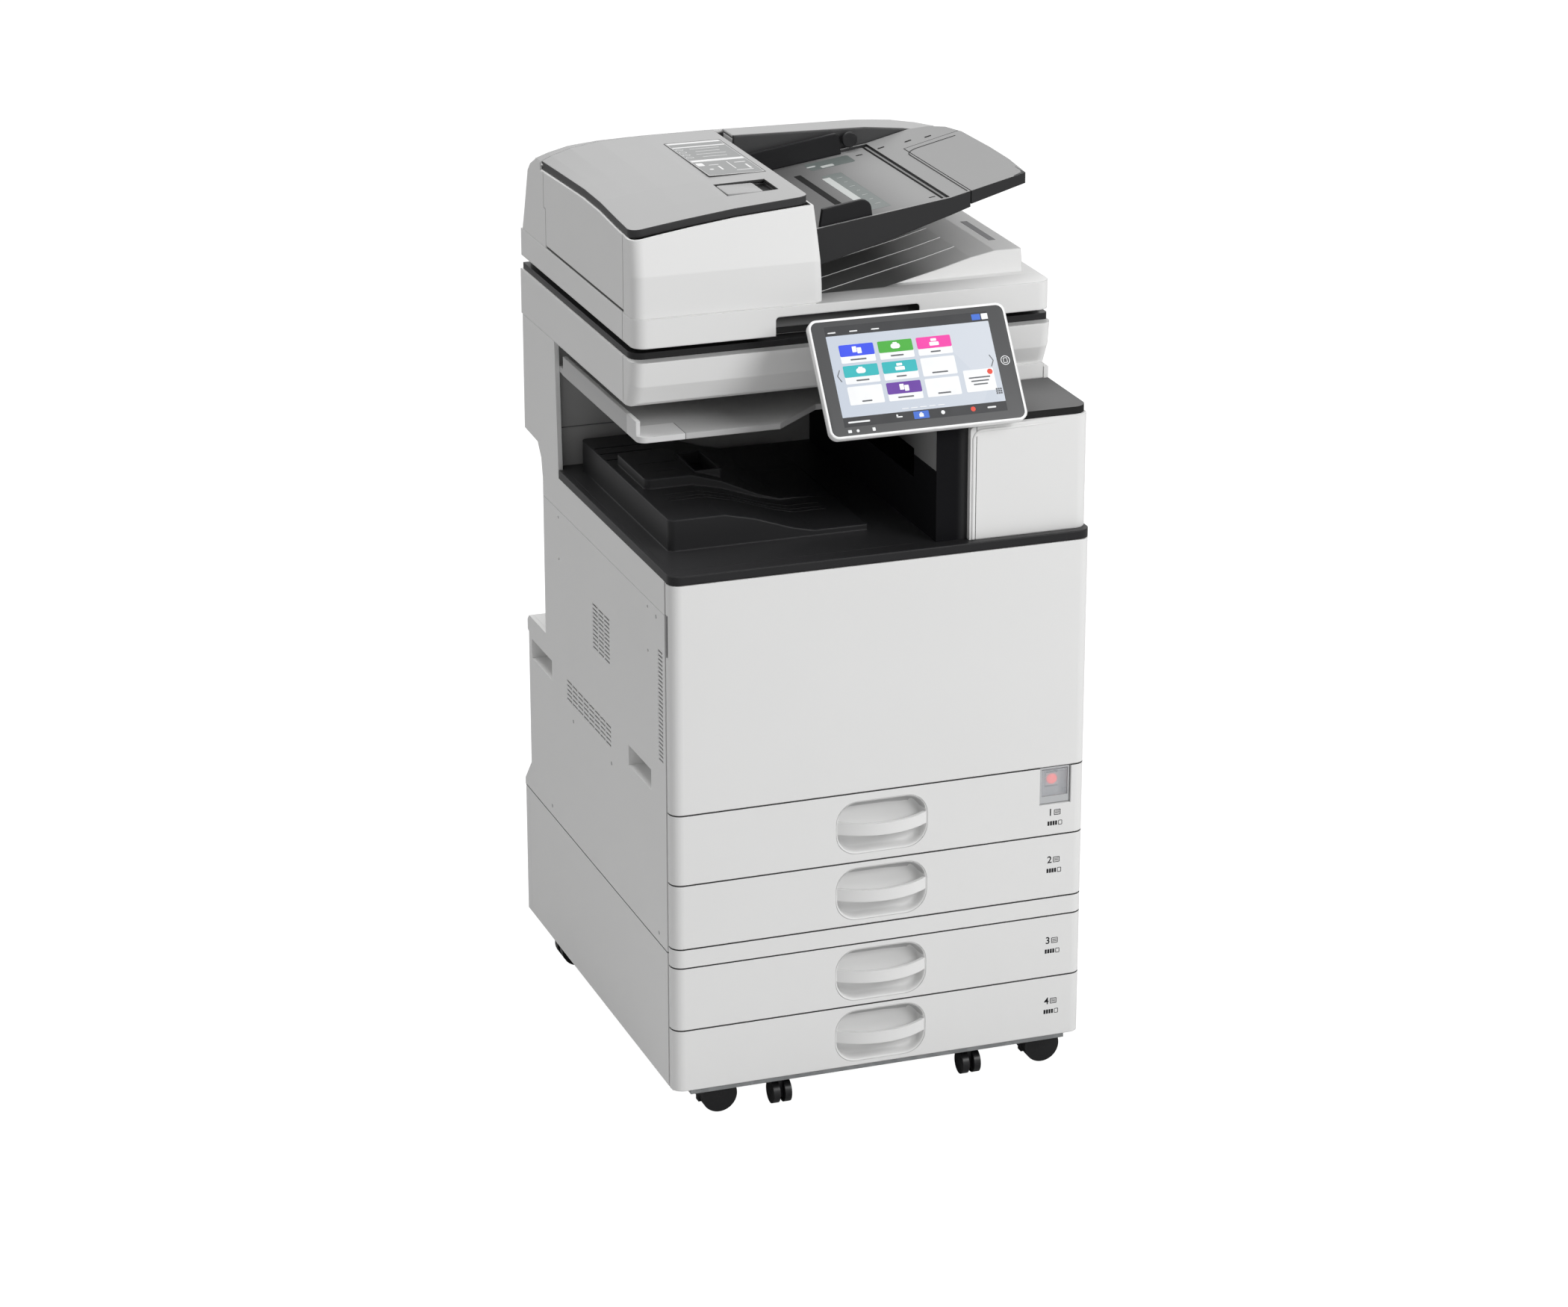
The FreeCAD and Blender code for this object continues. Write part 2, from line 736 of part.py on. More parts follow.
def main_frame():
    steel = "sheet_steel"
    inner_left = f"{FRAME_LEFT} + {steel}"
    rear_wall = back(f"engine_depth - {steel}")
    floor = box((FRAME_LEFT, FRAME_RIGHT), (FRAME_FRONT, back("rear_box - skin")), ("bank_height", f"bank_height + {steel}"))
    upright = ("bank_height", "top_plate_height")
    left_wall = box((FRAME_LEFT, inner_left), (FRAME_FRONT, back("engine_depth")), upright)
    right_wall = box((f"{INNER_RIGHT} - {steel}", INNER_RIGHT), (FRAME_FRONT, back("engine_depth")), upright)
    rear = box((FRAME_LEFT, FRAME_RIGHT), (rear_wall, back("engine_depth")), ("bank_height", "scanner_base"))
    shelf = box((FRAME_LEFT, INNER_RIGHT), (FRAME_FRONT, rear_wall), ("shelf_height", f"shelf_height + {steel}"))
    top = box((FRAME_LEFT, INNER_RIGHT), (FRAME_FRONT, rear_wall), ("top_plate_height", f"top_plate_height + {steel}"))
    plate = box((FRAME_LEFT, INNER_RIGHT), (back("inner_plate"), back(f"inner_plate + {steel}")),
                ("shelf_height", "top_plate_height"))
    drum_hole = rod("y", DRUM_PLACE, "drum_shaft + shaft_play", (back("inner_plate - 1"), back("engine_depth + 1")))
    bottle_hole = rod("y", BOTTLE_PLACE, "bottle_radius + running_gap",
                      (back("inner_plate - 1"), back(f"inner_plate + {steel} + 1")))
    front_clear = box((f"{LEFT}", f"{LEFT} + grip_pocket + seam"),
                      (back("front_grip_start - skin - seam"), back("front_grip_end + skin + seam")),
                      ("grip_low - skin - seam / 4", "grip_high + skin + seam"))
    rear_clear = box((f"{LEFT}", f"{LEFT} + grip_pocket + seam"),
                     (back("rear_grip_start - skin - seam"), back("rear_grip_end")),
                     ("grip_low - skin - seam / 4", "grip_high + skin + seam"))
    lugs = []
    for near, far, tip in (("right_door_low - running_gap", "right_door_low - running_gap - lug_thickness",
                            "right_door_low + pin_length"),
                           ("right_door_high + running_gap", "right_door_high + running_gap + lug_thickness",
                            "right_door_high - pin_length")):
        span = (far, near) if "low" in near else (near, far)
        lugs.append(box((f"{INNER_RIGHT} - {steel}", f"{RIGHT} - skin - running_gap"),
                        (back("right_pin_y - pin_length"), back("right_pin_y + pin_length")), span))
        lugs.append(pin("z", RIGHT_PIN, (far, tip) if "low" in near else (tip, far)))
    steelwork = join(floor, left_wall, right_wall, rear, shelf, top, plate, *lugs)
    return cut(steelwork, drum_hole, bottle_hole, front_clear, rear_clear)


piece("main_frame", main_frame())

# Left side cover, with two hand grips, three fields of louvres and the holes where an accessory bolts on
ENGINE_SIDE = [
    ("side_start", "bank_height + seam / 2", 1, 1),
    ("rear_foot", "bank_height + seam / 2", -1, 1),
    ("rear_foot", "foot_top", -1, 0),
    ("rear_box", "foot_slope_top", -1, 0),
    ("rear_box", "box_lid", -1, 0),
    ("lid_back", "box_lid + 2", -1, 0),
    ("lid_back", "box_top - 8", -1, 0),
    ("lid_back - 8", "box_top", 0, -1),
    ("rear_flat", "box_top", -1, -1),
    ("rear_flat", "upper_cover_start", -1, -1),
    ("side_start", "upper_cover_start", 1, -1),
]
DOCK_HOLES = [(f"dock_centre_y {s} dock_spacing_y / 2", f"dock_centre_z {t} dock_spacing_z / 2")
              for s in "+-" for t in "+-"]


def louvres(name, columns, rows):
    slots = []
    for column in range(columns):
        start = f"{name}_louvre_start + {column} * ({name}_louvre_width + louvre_gap)"
        for row in range(rows):
            low = f"door_level + {name}_louvre_rise + {row} * {name}_louvre_pitch"
            slots.append(box((f"{LEFT} - 1", f"{LEFT} + skin + 1"), (back(start), back(f"{start} + {name}_louvre_width")),
                             (low, f"{low} + louvre_height")))
    return group(*slots)


def left_cover():
    cover = side_cover(ENGINE_SIDE, "left")
    pockets = []
    hollows = []
    for start, end in (("front_grip_start", "front_grip_end"), ("rear_grip_start", "rear_grip_end")):
        pockets.append(box((LEFT, f"{LEFT} + grip_pocket"), (back(f"{start} - skin"), back(f"{end} + skin")),
                           ("grip_low - skin", "grip_high + skin")))
        hollows.append(box((f"{LEFT} - 1", f"{LEFT} + grip_pocket - skin"), (back(start), back(end)),
                           ("grip_low", "grip_high")))
    holes = [rod("x", (back(y), z), "dock_hole_radius", (f"{LEFT} - 1", f"{LEFT} + skin + 1")) for y, z in DOCK_HOLES]
    vents = [louvres("front", 1, 27), louvres("upper", 3, 11), louvres("lower", 8, 5)]
    return cut(join(cover, *pockets), *hollows, *holes, *vents)


piece("left_cover", left_cover())

UPPER_SIDE = [
    ("side_start", "upper_cover_start + seam / 2", 1, 1),
    ("rear_flat", "upper_cover_start + seam / 2", -1, 1),
    ("rear_flat", "overhang_start", -1, 0),
    ("rear_flat + 6", "overhang_start + 28", -1, 0),
    ("rear_flat + 22", "overhang_end - 3", 0, 1),
    ("rear_box", "overhang_end", -1, 1),
    ("rear_box", "scanner_base - running_gap", -1, -1),
    ("cavity_back - 8", "scanner_base - running_gap", 1, -1),
    ("cavity_back - 18", LEVELS["rim"], 1, -1),
    ("side_start", LEVELS["rim"], 1, -1),
]
piece("left_upper_cover", side_cover(UPPER_SIDE, "left"))

# Right side cover, one moulding from the bank joint to the scanner, with a window for the side door
RIGHT_SIDE = [
    ("side_start", "bank_height + seam / 2", 1, 1),
    ("rear_foot", "bank_height + seam / 2", -1, 1),
    ("rear_foot", "foot_top", -1, 0),
    ("rear_box", "foot_slope_top", -1, 0),
    ("rear_box", "box_lid", -1, 0),
    ("lid_back", "box_lid + 2", -1, 0),
    ("lid_back", "box_top - 8", -1, 0),
    ("lid_back - 8", "box_top", 0, -1),
    ("rear_flat", "box_top", -1, -1),
    ("rear_flat", "overhang_start", -1, 0),
    ("rear_flat + 6", "overhang_start + 28", -1, 0),
    ("rear_flat + 22", "overhang_end - 3", 0, 1),
    ("rear_box", "overhang_end", -1, 1),
    ("rear_box", "scanner_base - running_gap", -1, -1),
    ("scanner_step_front", "scanner_base - running_gap", 1, -1),
    ("scanner_step_front", "tower_top_height", 1, -1),
    ("tower_cover_front + tower_cover_depth + seam", "tower_top_height", 1, -1),
    ("tower_cover_front + tower_cover_depth + seam", LEVELS["rim"], 1, 0),
    ("side_start", LEVELS["rim"], 1, -1),
]
RIGHT_WINDOW_Y = (back("right_door_front - seam * 2"), back("right_door_back + right_hinge_play"))
RIGHT_WINDOW_Z = ("right_door_low - seam", "right_door_high + seam")


def right_cover():
    cover = side_cover(RIGHT_SIDE, "right")
    return cut(cover, box((f"{FRAME_RIGHT} - 1", f"{RIGHT} + 1"), RIGHT_WINDOW_Y, RIGHT_WINDOW_Z))


piece("right_cover", right_cover())


# Rear cover: one folded profile over the electronics box, the flat back and the overhang
def rear_cover():
    outer = [
        ("engine_depth", "bank_height + sheet_steel"),
        ("rear_foot", "bank_height + sheet_steel"),
        ("rear_foot", "foot_top"),
        ("rear_box", "foot_slope_top"),
        ("rear_box", "box_lid"),
        ("lid_back", "box_lid + 2"),
        ("lid_back", "box_top - 8"),
        ("lid_back - 8", "box_top"),
        ("rear_flat", "box_top"),
        ("rear_flat", "overhang_start"),
        ("rear_flat + 6", "overhang_start + 28"),
        ("rear_flat + 22", "overhang_end - 3"),
        ("rear_box", "overhang_end"),
        ("rear_box", "scanner_base"),
        ("engine_depth", "scanner_base"),
    ]
    inner = [
        ("engine_depth - 1", "bank_height + sheet_steel + skin"),
        ("rear_foot - skin", "bank_height + sheet_steel + skin"),
        ("rear_foot - skin", "foot_top - skin / 2"),
        ("rear_box - skin", "foot_slope_top - skin / 2"),
        ("rear_box - skin", "box_lid + skin / 2"),
        ("lid_back - skin", "box_lid + 2 + skin / 2"),
        ("lid_back - skin", "box_top - 8 - skin / 2"),
        ("lid_back - 8 - skin / 2", "box_top - skin"),
        ("rear_flat - skin", "box_top - skin"),
        ("rear_flat - skin", "overhang_start + skin / 2"),
        ("rear_flat + 6 - skin", "overhang_start + 28 + skin / 2"),
        ("rear_flat + 22 - skin / 2", "overhang_end - 3 + skin"),
        ("rear_box - skin", "overhang_end + skin"),
        ("rear_box - skin", "scanner_base - skin"),
        ("engine_depth - 1", "scanner_base - skin"),
    ]
    half = "body_half_width - frame_inset"
    shell = cut(prism("x", [(back(y), z) for y, z in outer], (f"-({half})", half)),
                prism("x", [(back(y), z) for y, z in inner], (f"-({half}) - 1", f"{half} + 1")))
    # the wall of the box is made of plates round the power inlet
    wall_y, wall_z = (back("rear_box - skin"), back("rear_box")), ("foot_slope_top", "box_lid")
    hole_x = ("inlet_x - inlet_half_width", "inlet_x + inlet_half_width")
    hole_z = ("inlet_z - inlet_half_height", "inlet_z + inlet_half_height")
    ends = cut(shell, box((f"-({half}) - 1", f"{half} + 1"), (f"{wall_y[0]} - 1", f"{wall_y[1]} + 1"), wall_z))
    return group(ends, box((f"-({half})", hole_x[0]), wall_y, wall_z), box((hole_x[1], half), wall_y, wall_z),
                 box(hole_x, wall_y, (wall_z[0], hole_z[0])), box(hole_x, wall_y, (hole_z[1], wall_z[1])))


piece("rear_cover", rear_cover())


def power_inlet():
    body = box(("inlet_x - inlet_half_width", "inlet_x + inlet_half_width"), (back("rear_box - 22"), back("rear_box + skin / 2")),
               ("inlet_z - inlet_half_height", "inlet_z + inlet_half_height"))
    flange = box(("inlet_x - inlet_half_width - inlet_flange", "inlet_x + inlet_half_width + inlet_flange"),
                 (back("rear_box"), back("rear_box + skin")),
                 ("inlet_z - inlet_half_height - inlet_flange / 2", "inlet_z + inlet_half_height + inlet_flange / 2"))
    socket = box(("inlet_x - inlet_half_width + skin", "inlet_x + inlet_half_width - skin"),
                 (back("rear_box - 16"), back("rear_box + skin + 1")),
                 ("inlet_z - inlet_half_height + skin", "inlet_z + inlet_half_height - skin"))
    return cut(join(body, flange), socket)


piece("power_inlet", power_inlet())


# Exit tray: black moulding with the rim that shows all round, and two wavy steps for the paper
def step(rise, front, rear, inset, start="0"):
    """One step: high and flat on the left, a dip towards the right."""
    line = [(0, 1), (77, 1), (118, 0.78), (170, 0.36), (201, 0.19)]
    low = RIM_TOP
    outline = [(f"-step_left + {run}", f"{low} + {rise} * {share} - {inset}") for run, share in line]
    left = f"{start} - step_left + {inset}"
    outline[0] = (left, outline[0][1])
    outline += [(f"step_right - {inset}", f"{low} + lower_step_toe - {inset}")]
    outline += [(f"step_right - {inset}", f"{low} - {inset} * 4"), (left, f"{low} - {inset} * 4")]
    slab = prism("y", outline, (back(front), back(rear)))
    if inset != "0":
        return slab
    return rounded(slab, "step_radius", *[{"x": left, "y": back(y)} for y in (front, rear)])


FRONT_PIN = ("front_pin_x", back("front_pin_y"))


def exit_tray():
    right_end, left_end = back("tower_cover_front + tower_cover_depth"), back("cavity_back - 18 - seam / 2")
    outline = [(LEFT, back(0)), (RIGHT, back(0)), (RIGHT, right_end), (FRAME_RIGHT, right_end),
               (FRAME_RIGHT, back("cavity_back")), (FRAME_LEFT, back("cavity_back")), (FRAME_LEFT, left_end),
               (LEFT, left_end)]
    rim = rounded(prism("z", outline, (LEVELS["rim"], RIM_TOP)),
                  "corner_radius", {"x": LEFT, "y": back(0)}, {"x": RIGHT, "y": back(0)})
    plinth = box((FRAME_LEFT, INNER_RIGHT), (FRAME_FRONT, back("cavity_back")),
                 ("top_plate_height + sheet_steel", LEVELS["rim"]))
    lower = step("lower_step_rise", "step_front", "step_back", "0")
    upper = step("upper_step_rise", "step_middle", "step_end", "0", "upper_step_inset")
    lower_hollow = step("lower_step_rise", "step_front + step_wall", "step_back - step_wall", "step_wall")
    upper_hollow = step("upper_step_rise", "step_middle + step_wall", "step_end - step_wall", "step_wall",
                        "upper_step_inset")
    grooves = [box(("3 - step_left", "77 - step_left"), (back(f"step_end + {place}"), back(f"step_end + {place} + 3.5")),
                   (f"{RIM_TOP} + lower_step_rise - step_wall / 2", f"{RIM_TOP} + lower_step_rise + 1"))
               for place in (14, 42, 68)]
    under = box(("-step_left + step_wall", "step_right - step_wall"),
                (back("step_front + step_wall"), back("step_back - step_wall")),
                ("top_plate_height", RIM_TOP))
    slot = box(("-slot_left", "-slot_left + slot_width"), (back("slot_front"), back("slot_front + slot_length")),
               (f"{RIM_TOP} + upper_step_rise - slot_depth", f"{RIM_TOP} + upper_step_rise + 1"))
    slot_floor = box(("-slot_left - skin", "-slot_left + slot_width + skin"),
                     (back("slot_front - skin"), back("slot_front + slot_length + skin")),
                     (f"{RIM_TOP} + upper_step_rise - slot_depth - skin", f"{RIM_TOP} + upper_step_rise - step_wall / 2"))
    hollowed = cut(join(rim, plinth, lower, upper), lower_hollow, upper_hollow, under)
    door_pin = pin("z", FRONT_PIN, (f"{LEVELS['rim']} - pin_length", RIM_TOP))
    return cut(join(hollowed, slot_floor, door_pin), slot, *grooves)


piece("exit_tray", exit_tray())


# Grey liner: the back wall of the exit cavity
def cavity_liner():
    outside = box((FRAME_LEFT, "tower_side"), (back("cavity_back"), back("engine_depth - sheet_steel")),
                  ("top_plate_height + sheet_steel", "scanner_base"))
    inside = box((f"{FRAME_LEFT} + skin", "tower_side - skin"), (back("cavity_back + skin"), back("engine_depth")),
                 ("top_plate_height + sheet_steel + skin", "scanner_base - skin"))
    return cut(outside, inside)


piece("cavity_liner", cavity_liner())


# One-bin tray: a pale tray hung under the scanner, its front right corner cut away
def one_bin_tray():
    left = f"{FRAME_LEFT} - seam"
    outline = [(left, back("bin_front")), ("-bin_cut_x", back("bin_front")),
               ("-bin_cut_right", back("bin_front + bin_cut_depth")), ("tower_side", back("bin_front + bin_cut_depth")),
               ("tower_side", back("cavity_back")), (FRAME_LEFT, back("cavity_back")),
               (FRAME_LEFT, back("cavity_back - 25")), (left, back("cavity_back - 25"))]
    plate = rounded(prism("z", outline, ("bin_level", "bin_level + bin_thickness")), "bin_radius",
                    {"x": left, "y": back("bin_front")})
    rim = box((left, f"{left} + bin_rim_width"), (back("bin_front + bin_radius"), back("cavity_back - 30")),
              ("bin_level", "bin_rim"))
    return join(plate, rim)


piece("one_bin_tray", one_bin_tray())


# Tower to the right of the cavity: black inner frame with the exit slot, and its pale cover
def tower_frame():
    rear = back("engine_depth - sheet_steel")
    top_low, top_high = "tower_top_height", "tower_top_height + tower_top_thickness"
    side = box(("tower_side", "tower_side + tower_wall"), (back("tower_front"), rear), (RIM_TOP, "scanner_base"))
    face = box(("tower_side", "tower_cover_left - running_gap"), (back("tower_front"), back("tower_front + tower_wall")),
               (RIM_TOP, top_high))
    inner = box(("tower_cover_left - tower_wall - running_gap", "tower_cover_left - running_gap"),
                (back("tower_front"), back("tower_front + 60")), (RIM_TOP, top_low))
    top = rounded(box(("tower_side", RIGHT), (back("tower_front"), back("scanner_step_front")), (top_low, top_high)),
                  "tower_radius", {"x": RIGHT, "y": back("tower_front")})
    shelf = box(("tower_side", f"{FRAME_RIGHT} - running_gap"), (back("scanner_step_front"), rear), (top_low, top_high))
    exit_slot = box(("tower_side - 1", "tower_side + tower_wall + 1"), (back("unit_front + 40"), back("unit_back - 40")),
                    ("exit_slot_low", "exit_slot_high"))
    return cut(join(side, face, inner, top, shelf), exit_slot)


piece("tower_frame", tower_frame())


def tower_cover():
    y = (back("tower_cover_front"), back("tower_cover_front + tower_cover_depth"))
    block = rounded(box(("tower_cover_left", RIGHT), y, (RIM_TOP, "tower_top_height")),
                    "tower_radius", {"x": RIGHT, "y": y[0]})
    shell = rounded(block, "tower_corner", {"x": "tower_cover_left", "z": "tower_top_height"})
    hollow = box(("tower_cover_left + tower_wall", f"{RIGHT} - tower_wall"),
                 (back("tower_cover_front + tower_wall"), f"{y[1]} + 1"),
                 (f"{RIM_TOP} + tower_wall", "tower_top_height - tower_wall"))
    corner = rounded(hollow, "tower_radius - tower_wall",
                     {"x": f"{RIGHT} - tower_wall", "y": back("tower_cover_front + tower_wall")})
    return cut(shell, corner)


piece("tower_cover", tower_cover())


# Scanner: an open tub whose front leans back towards its foot, closed by the black band and the glass
def side_groove(y, z, depth="groove_depth"):
    """A shallow groove in the left face, where two mouldings of one cover meet."""
    return box((f"{LEFT} - 1", f"{LEFT} + {depth}"), tuple(back(place) for place in y), z)


def scanner_housing():
    profile = [
        ("scanner_top_front", "scanner_top"),
        ("scanner_top_front + 5", "scanner_top - 34"),
        ("scanner_base_front - 4", "scanner_base + 5"),
        ("scanner_base_front + 4", "scanner_base"),
        ("scanner_rear", "scanner_base"),
        ("scanner_rear", "scanner_top"),
    ]
    front_span = (back("scanner_top_front"), back("scanner_base_front"))
    shell = rounded(prism("x", [(back(y), z) for y, z in profile], (LEFT, RIGHT)), "corner_radius",
                    {"x": LEFT, "y": front_span}, {"x": RIGHT, "y": front_span})
    wall = "scanner_wall"
    hollow = box((f"{LEFT} + {wall}", f"{RIGHT} - {wall}"), (back(f"scanner_base_front + 2 * {wall}"), back(f"scanner_rear - {wall}")),
                 (f"scanner_base + {wall}", "scanner_top + 1"))
    foot = box(("tower_cover_left", f"{FRAME_RIGHT} - running_gap"), (back("scanner_step_front + 1"), back("engine_depth - 10")),
               ("tower_top_height + tower_top_thickness", "scanner_base + scanner_wall"))
    ribs = [box((f"{LEFT} + {wall}", f"{RIGHT} - {wall}"), (back(place), back(f"{place} + guide_rib_width")),
                (f"scanner_base + {wall}", f"scanner_base + {wall} + guide_rib_height"))
            for place in ("glass_front", "glass_front + glass_depth - guide_rib_width")]
    seam_line = side_groove(("corner_seam", "corner_seam + groove_width"), ("scanner_base + 3", "scanner_top + 1"))
    return join(cut(shell, hollow, seam_line), foot, *ribs)


piece("scanner_housing", scanner_housing())

GLASS_Y = (back("glass_front"), back("glass_front + glass_depth"))
BAND_TOP = "scanner_top + band_height"
LID_AXIS = (back("scanner_rear - lid_axis_inset"), "feeder_base_low - lid_axis_drop")


def lid_barrels(radius, play):
    """The two hinge barrels at the rear of the lid, or the pockets they turn in."""
    end = "lid_barrel_start + lid_barrel_length"
    return [rod("x", LID_AXIS, radius, (f"{low} - {play}", f"{high} + {play}"))
            for low, high in (("lid_barrel_start", end), (f"-({end})", "-lid_barrel_start"))]


def glass_panes(z):
    platen = box(("-glass_left", "glass_right"), GLASS_Y, z)
    slit = box(("-slit_left", "-slit_left + slit_width"), GLASS_Y, z)
    return platen, slit


def scanner_band():
    left, right = "band_inset - body_half_width", "body_half_width - band_right_inset"
    front = back("band_front")
    plate = box((left, right), (front, back("scanner_rear - band_inset")), ("scanner_top", BAND_TOP))
    band = rounded(rounded(plate, "feeder_radius", {"x": left, "y": front}), "band_right_radius", {"x": right, "y": front})
    return cut(band, *glass_panes(("scanner_top - 1", f"{BAND_TOP} + 1")),
               *lid_barrels("lid_barrel + pin_play", "running_gap"))


piece("scanner_band", scanner_band())
piece("platen_glass", group(*glass_panes((f"{BAND_TOP} - glass_thickness", BAND_TOP))))


def scan_carriage():
    low = "scanner_base + scanner_wall + guide_rib_height + running_gap"
    return box(("-slit_left", "-slit_left + carriage_width"), (back("carriage_front"), back("carriage_front + carriage_length")),
               (low, f"{low} + carriage_height"))


piece("scan_carriage", scan_carriage())


# Feeder base: the lid over the glass, with the sloping exit surface and the finger notch
EXIT_SLOPE = "(platform_rise * 0.43 / 61)"


def feeder_base():
    front, rear = back("feeder_base_front"), back("scanner_rear - scanner_wall")
    slab = rounded(box((LEFT, "feeder_base_right"), (front, rear), ("feeder_base_low", "feeder_base_top")),
                   "feeder_radius", {"x": LEFT, "y": front}, {"x": "feeder_base_right", "y": front})
    rise = [(0, 0), (61, 0.43), (106, 0.8), (141, 1)]
    platform = [(f"platform_left + {run}", f"feeder_base_top + platform_rise * {share}") for run, share in rise]
    platform += [("platform_right - 3", "feeder_base_top + platform_rise"), ("platform_right", "feeder_base_top - 1"),
                 ("platform_left", "feeder_base_top - 1")]
    exit_surface = prism("y", platform, (back("platform_front"), back("hood_front - running_gap")))
    # left of the platform the same slope runs on down below the top, to the foot of the feeder's housing
    well_left = "feeder_left_right + feeder_lean + seam"
    well_floor = f"feeder_base_top - {EXIT_SLOPE} * (platform_left - ({well_left}))"
    notch = rounded(box(("-notch_half_width", "notch_half_width"), (f"{front} - 1", back("notch_back")),
                        ("feeder_base_low - 1", "notch_high")), "notch_radius",
                    *[{"x": x, "z": "notch_high"} for x in ("-notch_half_width", "notch_half_width")])
    # the foot of the lid is set back from its front and its left side
    foot_z = ("feeder_base_low - 1", "undercut_top")
    undercut = (box((f"{LEFT} - 1", "feeder_base_right + 1"), (f"{front} - 1", f"{front} + undercut_depth"), foot_z),
                box((f"{LEFT} - 1", f"{LEFT} + undercut_side"), (f"{front} - 1", f"{rear} + 1"), foot_z))
    wall = "feeder_wall"
    mouth = box((f"{LEFT} + 2 * {wall}", f"feeder_left_right - 3 * {wall}"),
                (back(f"notch_back + {wall}"), back("feeder_cover_back - 10")),
                (f"feeder_base_low + 2 * cushion_thickness", "feeder_base_top + 1"))
    hollow = box((f"{LEFT} + 2 * {wall}", f"feeder_base_right - {wall}"),
                 (back(f"notch_back + {wall}"), back("scanner_rear - scanner_wall - 10")),
                 (f"feeder_base_low + 2 * cushion_thickness", f"feeder_base_top - {wall}"))
    bed = box(CUSHION_X, CUSHION_Y, ("feeder_base_low - 1", f"feeder_base_low + cushion_thickness - seam"))
    seam_line = side_groove(("corner_seam", "corner_seam + groove_width"), ("feeder_base_low - 1", "feeder_base_top + 1"))
    well = prism("y", [(well_left, well_floor), ("platform_left", "feeder_base_top"),
                       ("platform_left", "feeder_base_top + 1"), (well_left, "feeder_base_top + 1")],
                 (back("exit_front"), back("hood_front - running_gap")))
    well_shell = prism("y", [(f"{well_left} - {wall}", f"{well_floor} - {wall}"), (well_left, f"{well_floor} - {wall}"),
                             ("platform_left", f"feeder_base_top - {wall}"), ("platform_left", "feeder_base_top"),
                             (f"{well_left} - {wall}", "feeder_base_top")],
                       (back(f"exit_front - {wall}"), back(f"hood_front + {wall}")))
    slab = cut(join(slab, exit_surface), notch, *undercut, mouth, hollow, bed, seam_line)
    return join(cut(join(slab, well_shell), well), *lid_barrels("lid_barrel", "0"))


CUSHION_X = ("-glass_left - 8", "glass_right + 8")
CUSHION_Y = (back("glass_front - 8"), back("glass_front + glass_depth + 8"))
piece("feeder_base", feeder_base())
piece("feeder_cushion", box(CUSHION_X, CUSHION_Y, ("feeder_base_low - seam", "feeder_base_low + cushion_thickness - seam")))


# Crowned top of the feeder, shared by its cover, its housing and the rear hood
CROWN_SHARES = (1, 0.93, 0.82, 0.65, 0.4, 0)
CROWN_RUN = "(feeder_cover_back - crown_front)"
CROWN = [(0, 1.35, 1), (0.14, 1.9, 2), (0.33, 2.5, 3), (0.51, 3, 4), (0.76, 4, 5), (1, 5, 6)]


def left_crown(power, drop, sink, inset):
    """Points of the crown from the left side in to its flat top."""
    reach = f"(body_half_width - ({inset}) - crown_left)"
    return [(f"-crown_left - {share} * {reach}", f"feeder_top - ({sink}) - {drop} * {share ** power:.4f}")
            for share in CROWN_SHARES]


def right_crown(sink, inset):
    """Points of the rear hood's crown from its flat top out to the right side."""
    reach = f"(feeder_base_right - ({inset}) - crown_right)"
    return [(f"crown_right + {share} * {reach}",
             f"feeder_top - ({sink}) - crown_right_step - crown_right_drop * {share ** 3:.4f}")
            for share in (0, 0.45, 0.7, 0.87, 1)]


def crowned(sink, inset, ends, finish):
    """A skin under the left crown; finish adds the rest of each outline to its crown points."""
    stations = []
    for share, power, drop in CROWN:
        line = left_crown(power, f"crown_drop_{drop}", sink, inset)
        place = ends[0] if share == 0 else ends[1] if share == 1 else back(f"crown_front + {share} * {CROWN_RUN}")
        stations.append((place, finish(line)))
    return loft(stations)


TABLE_PIN = ("table_pin_x", "table_pin_z")
COVER_PIN = ("cover_pin_x", "cover_pin_z")


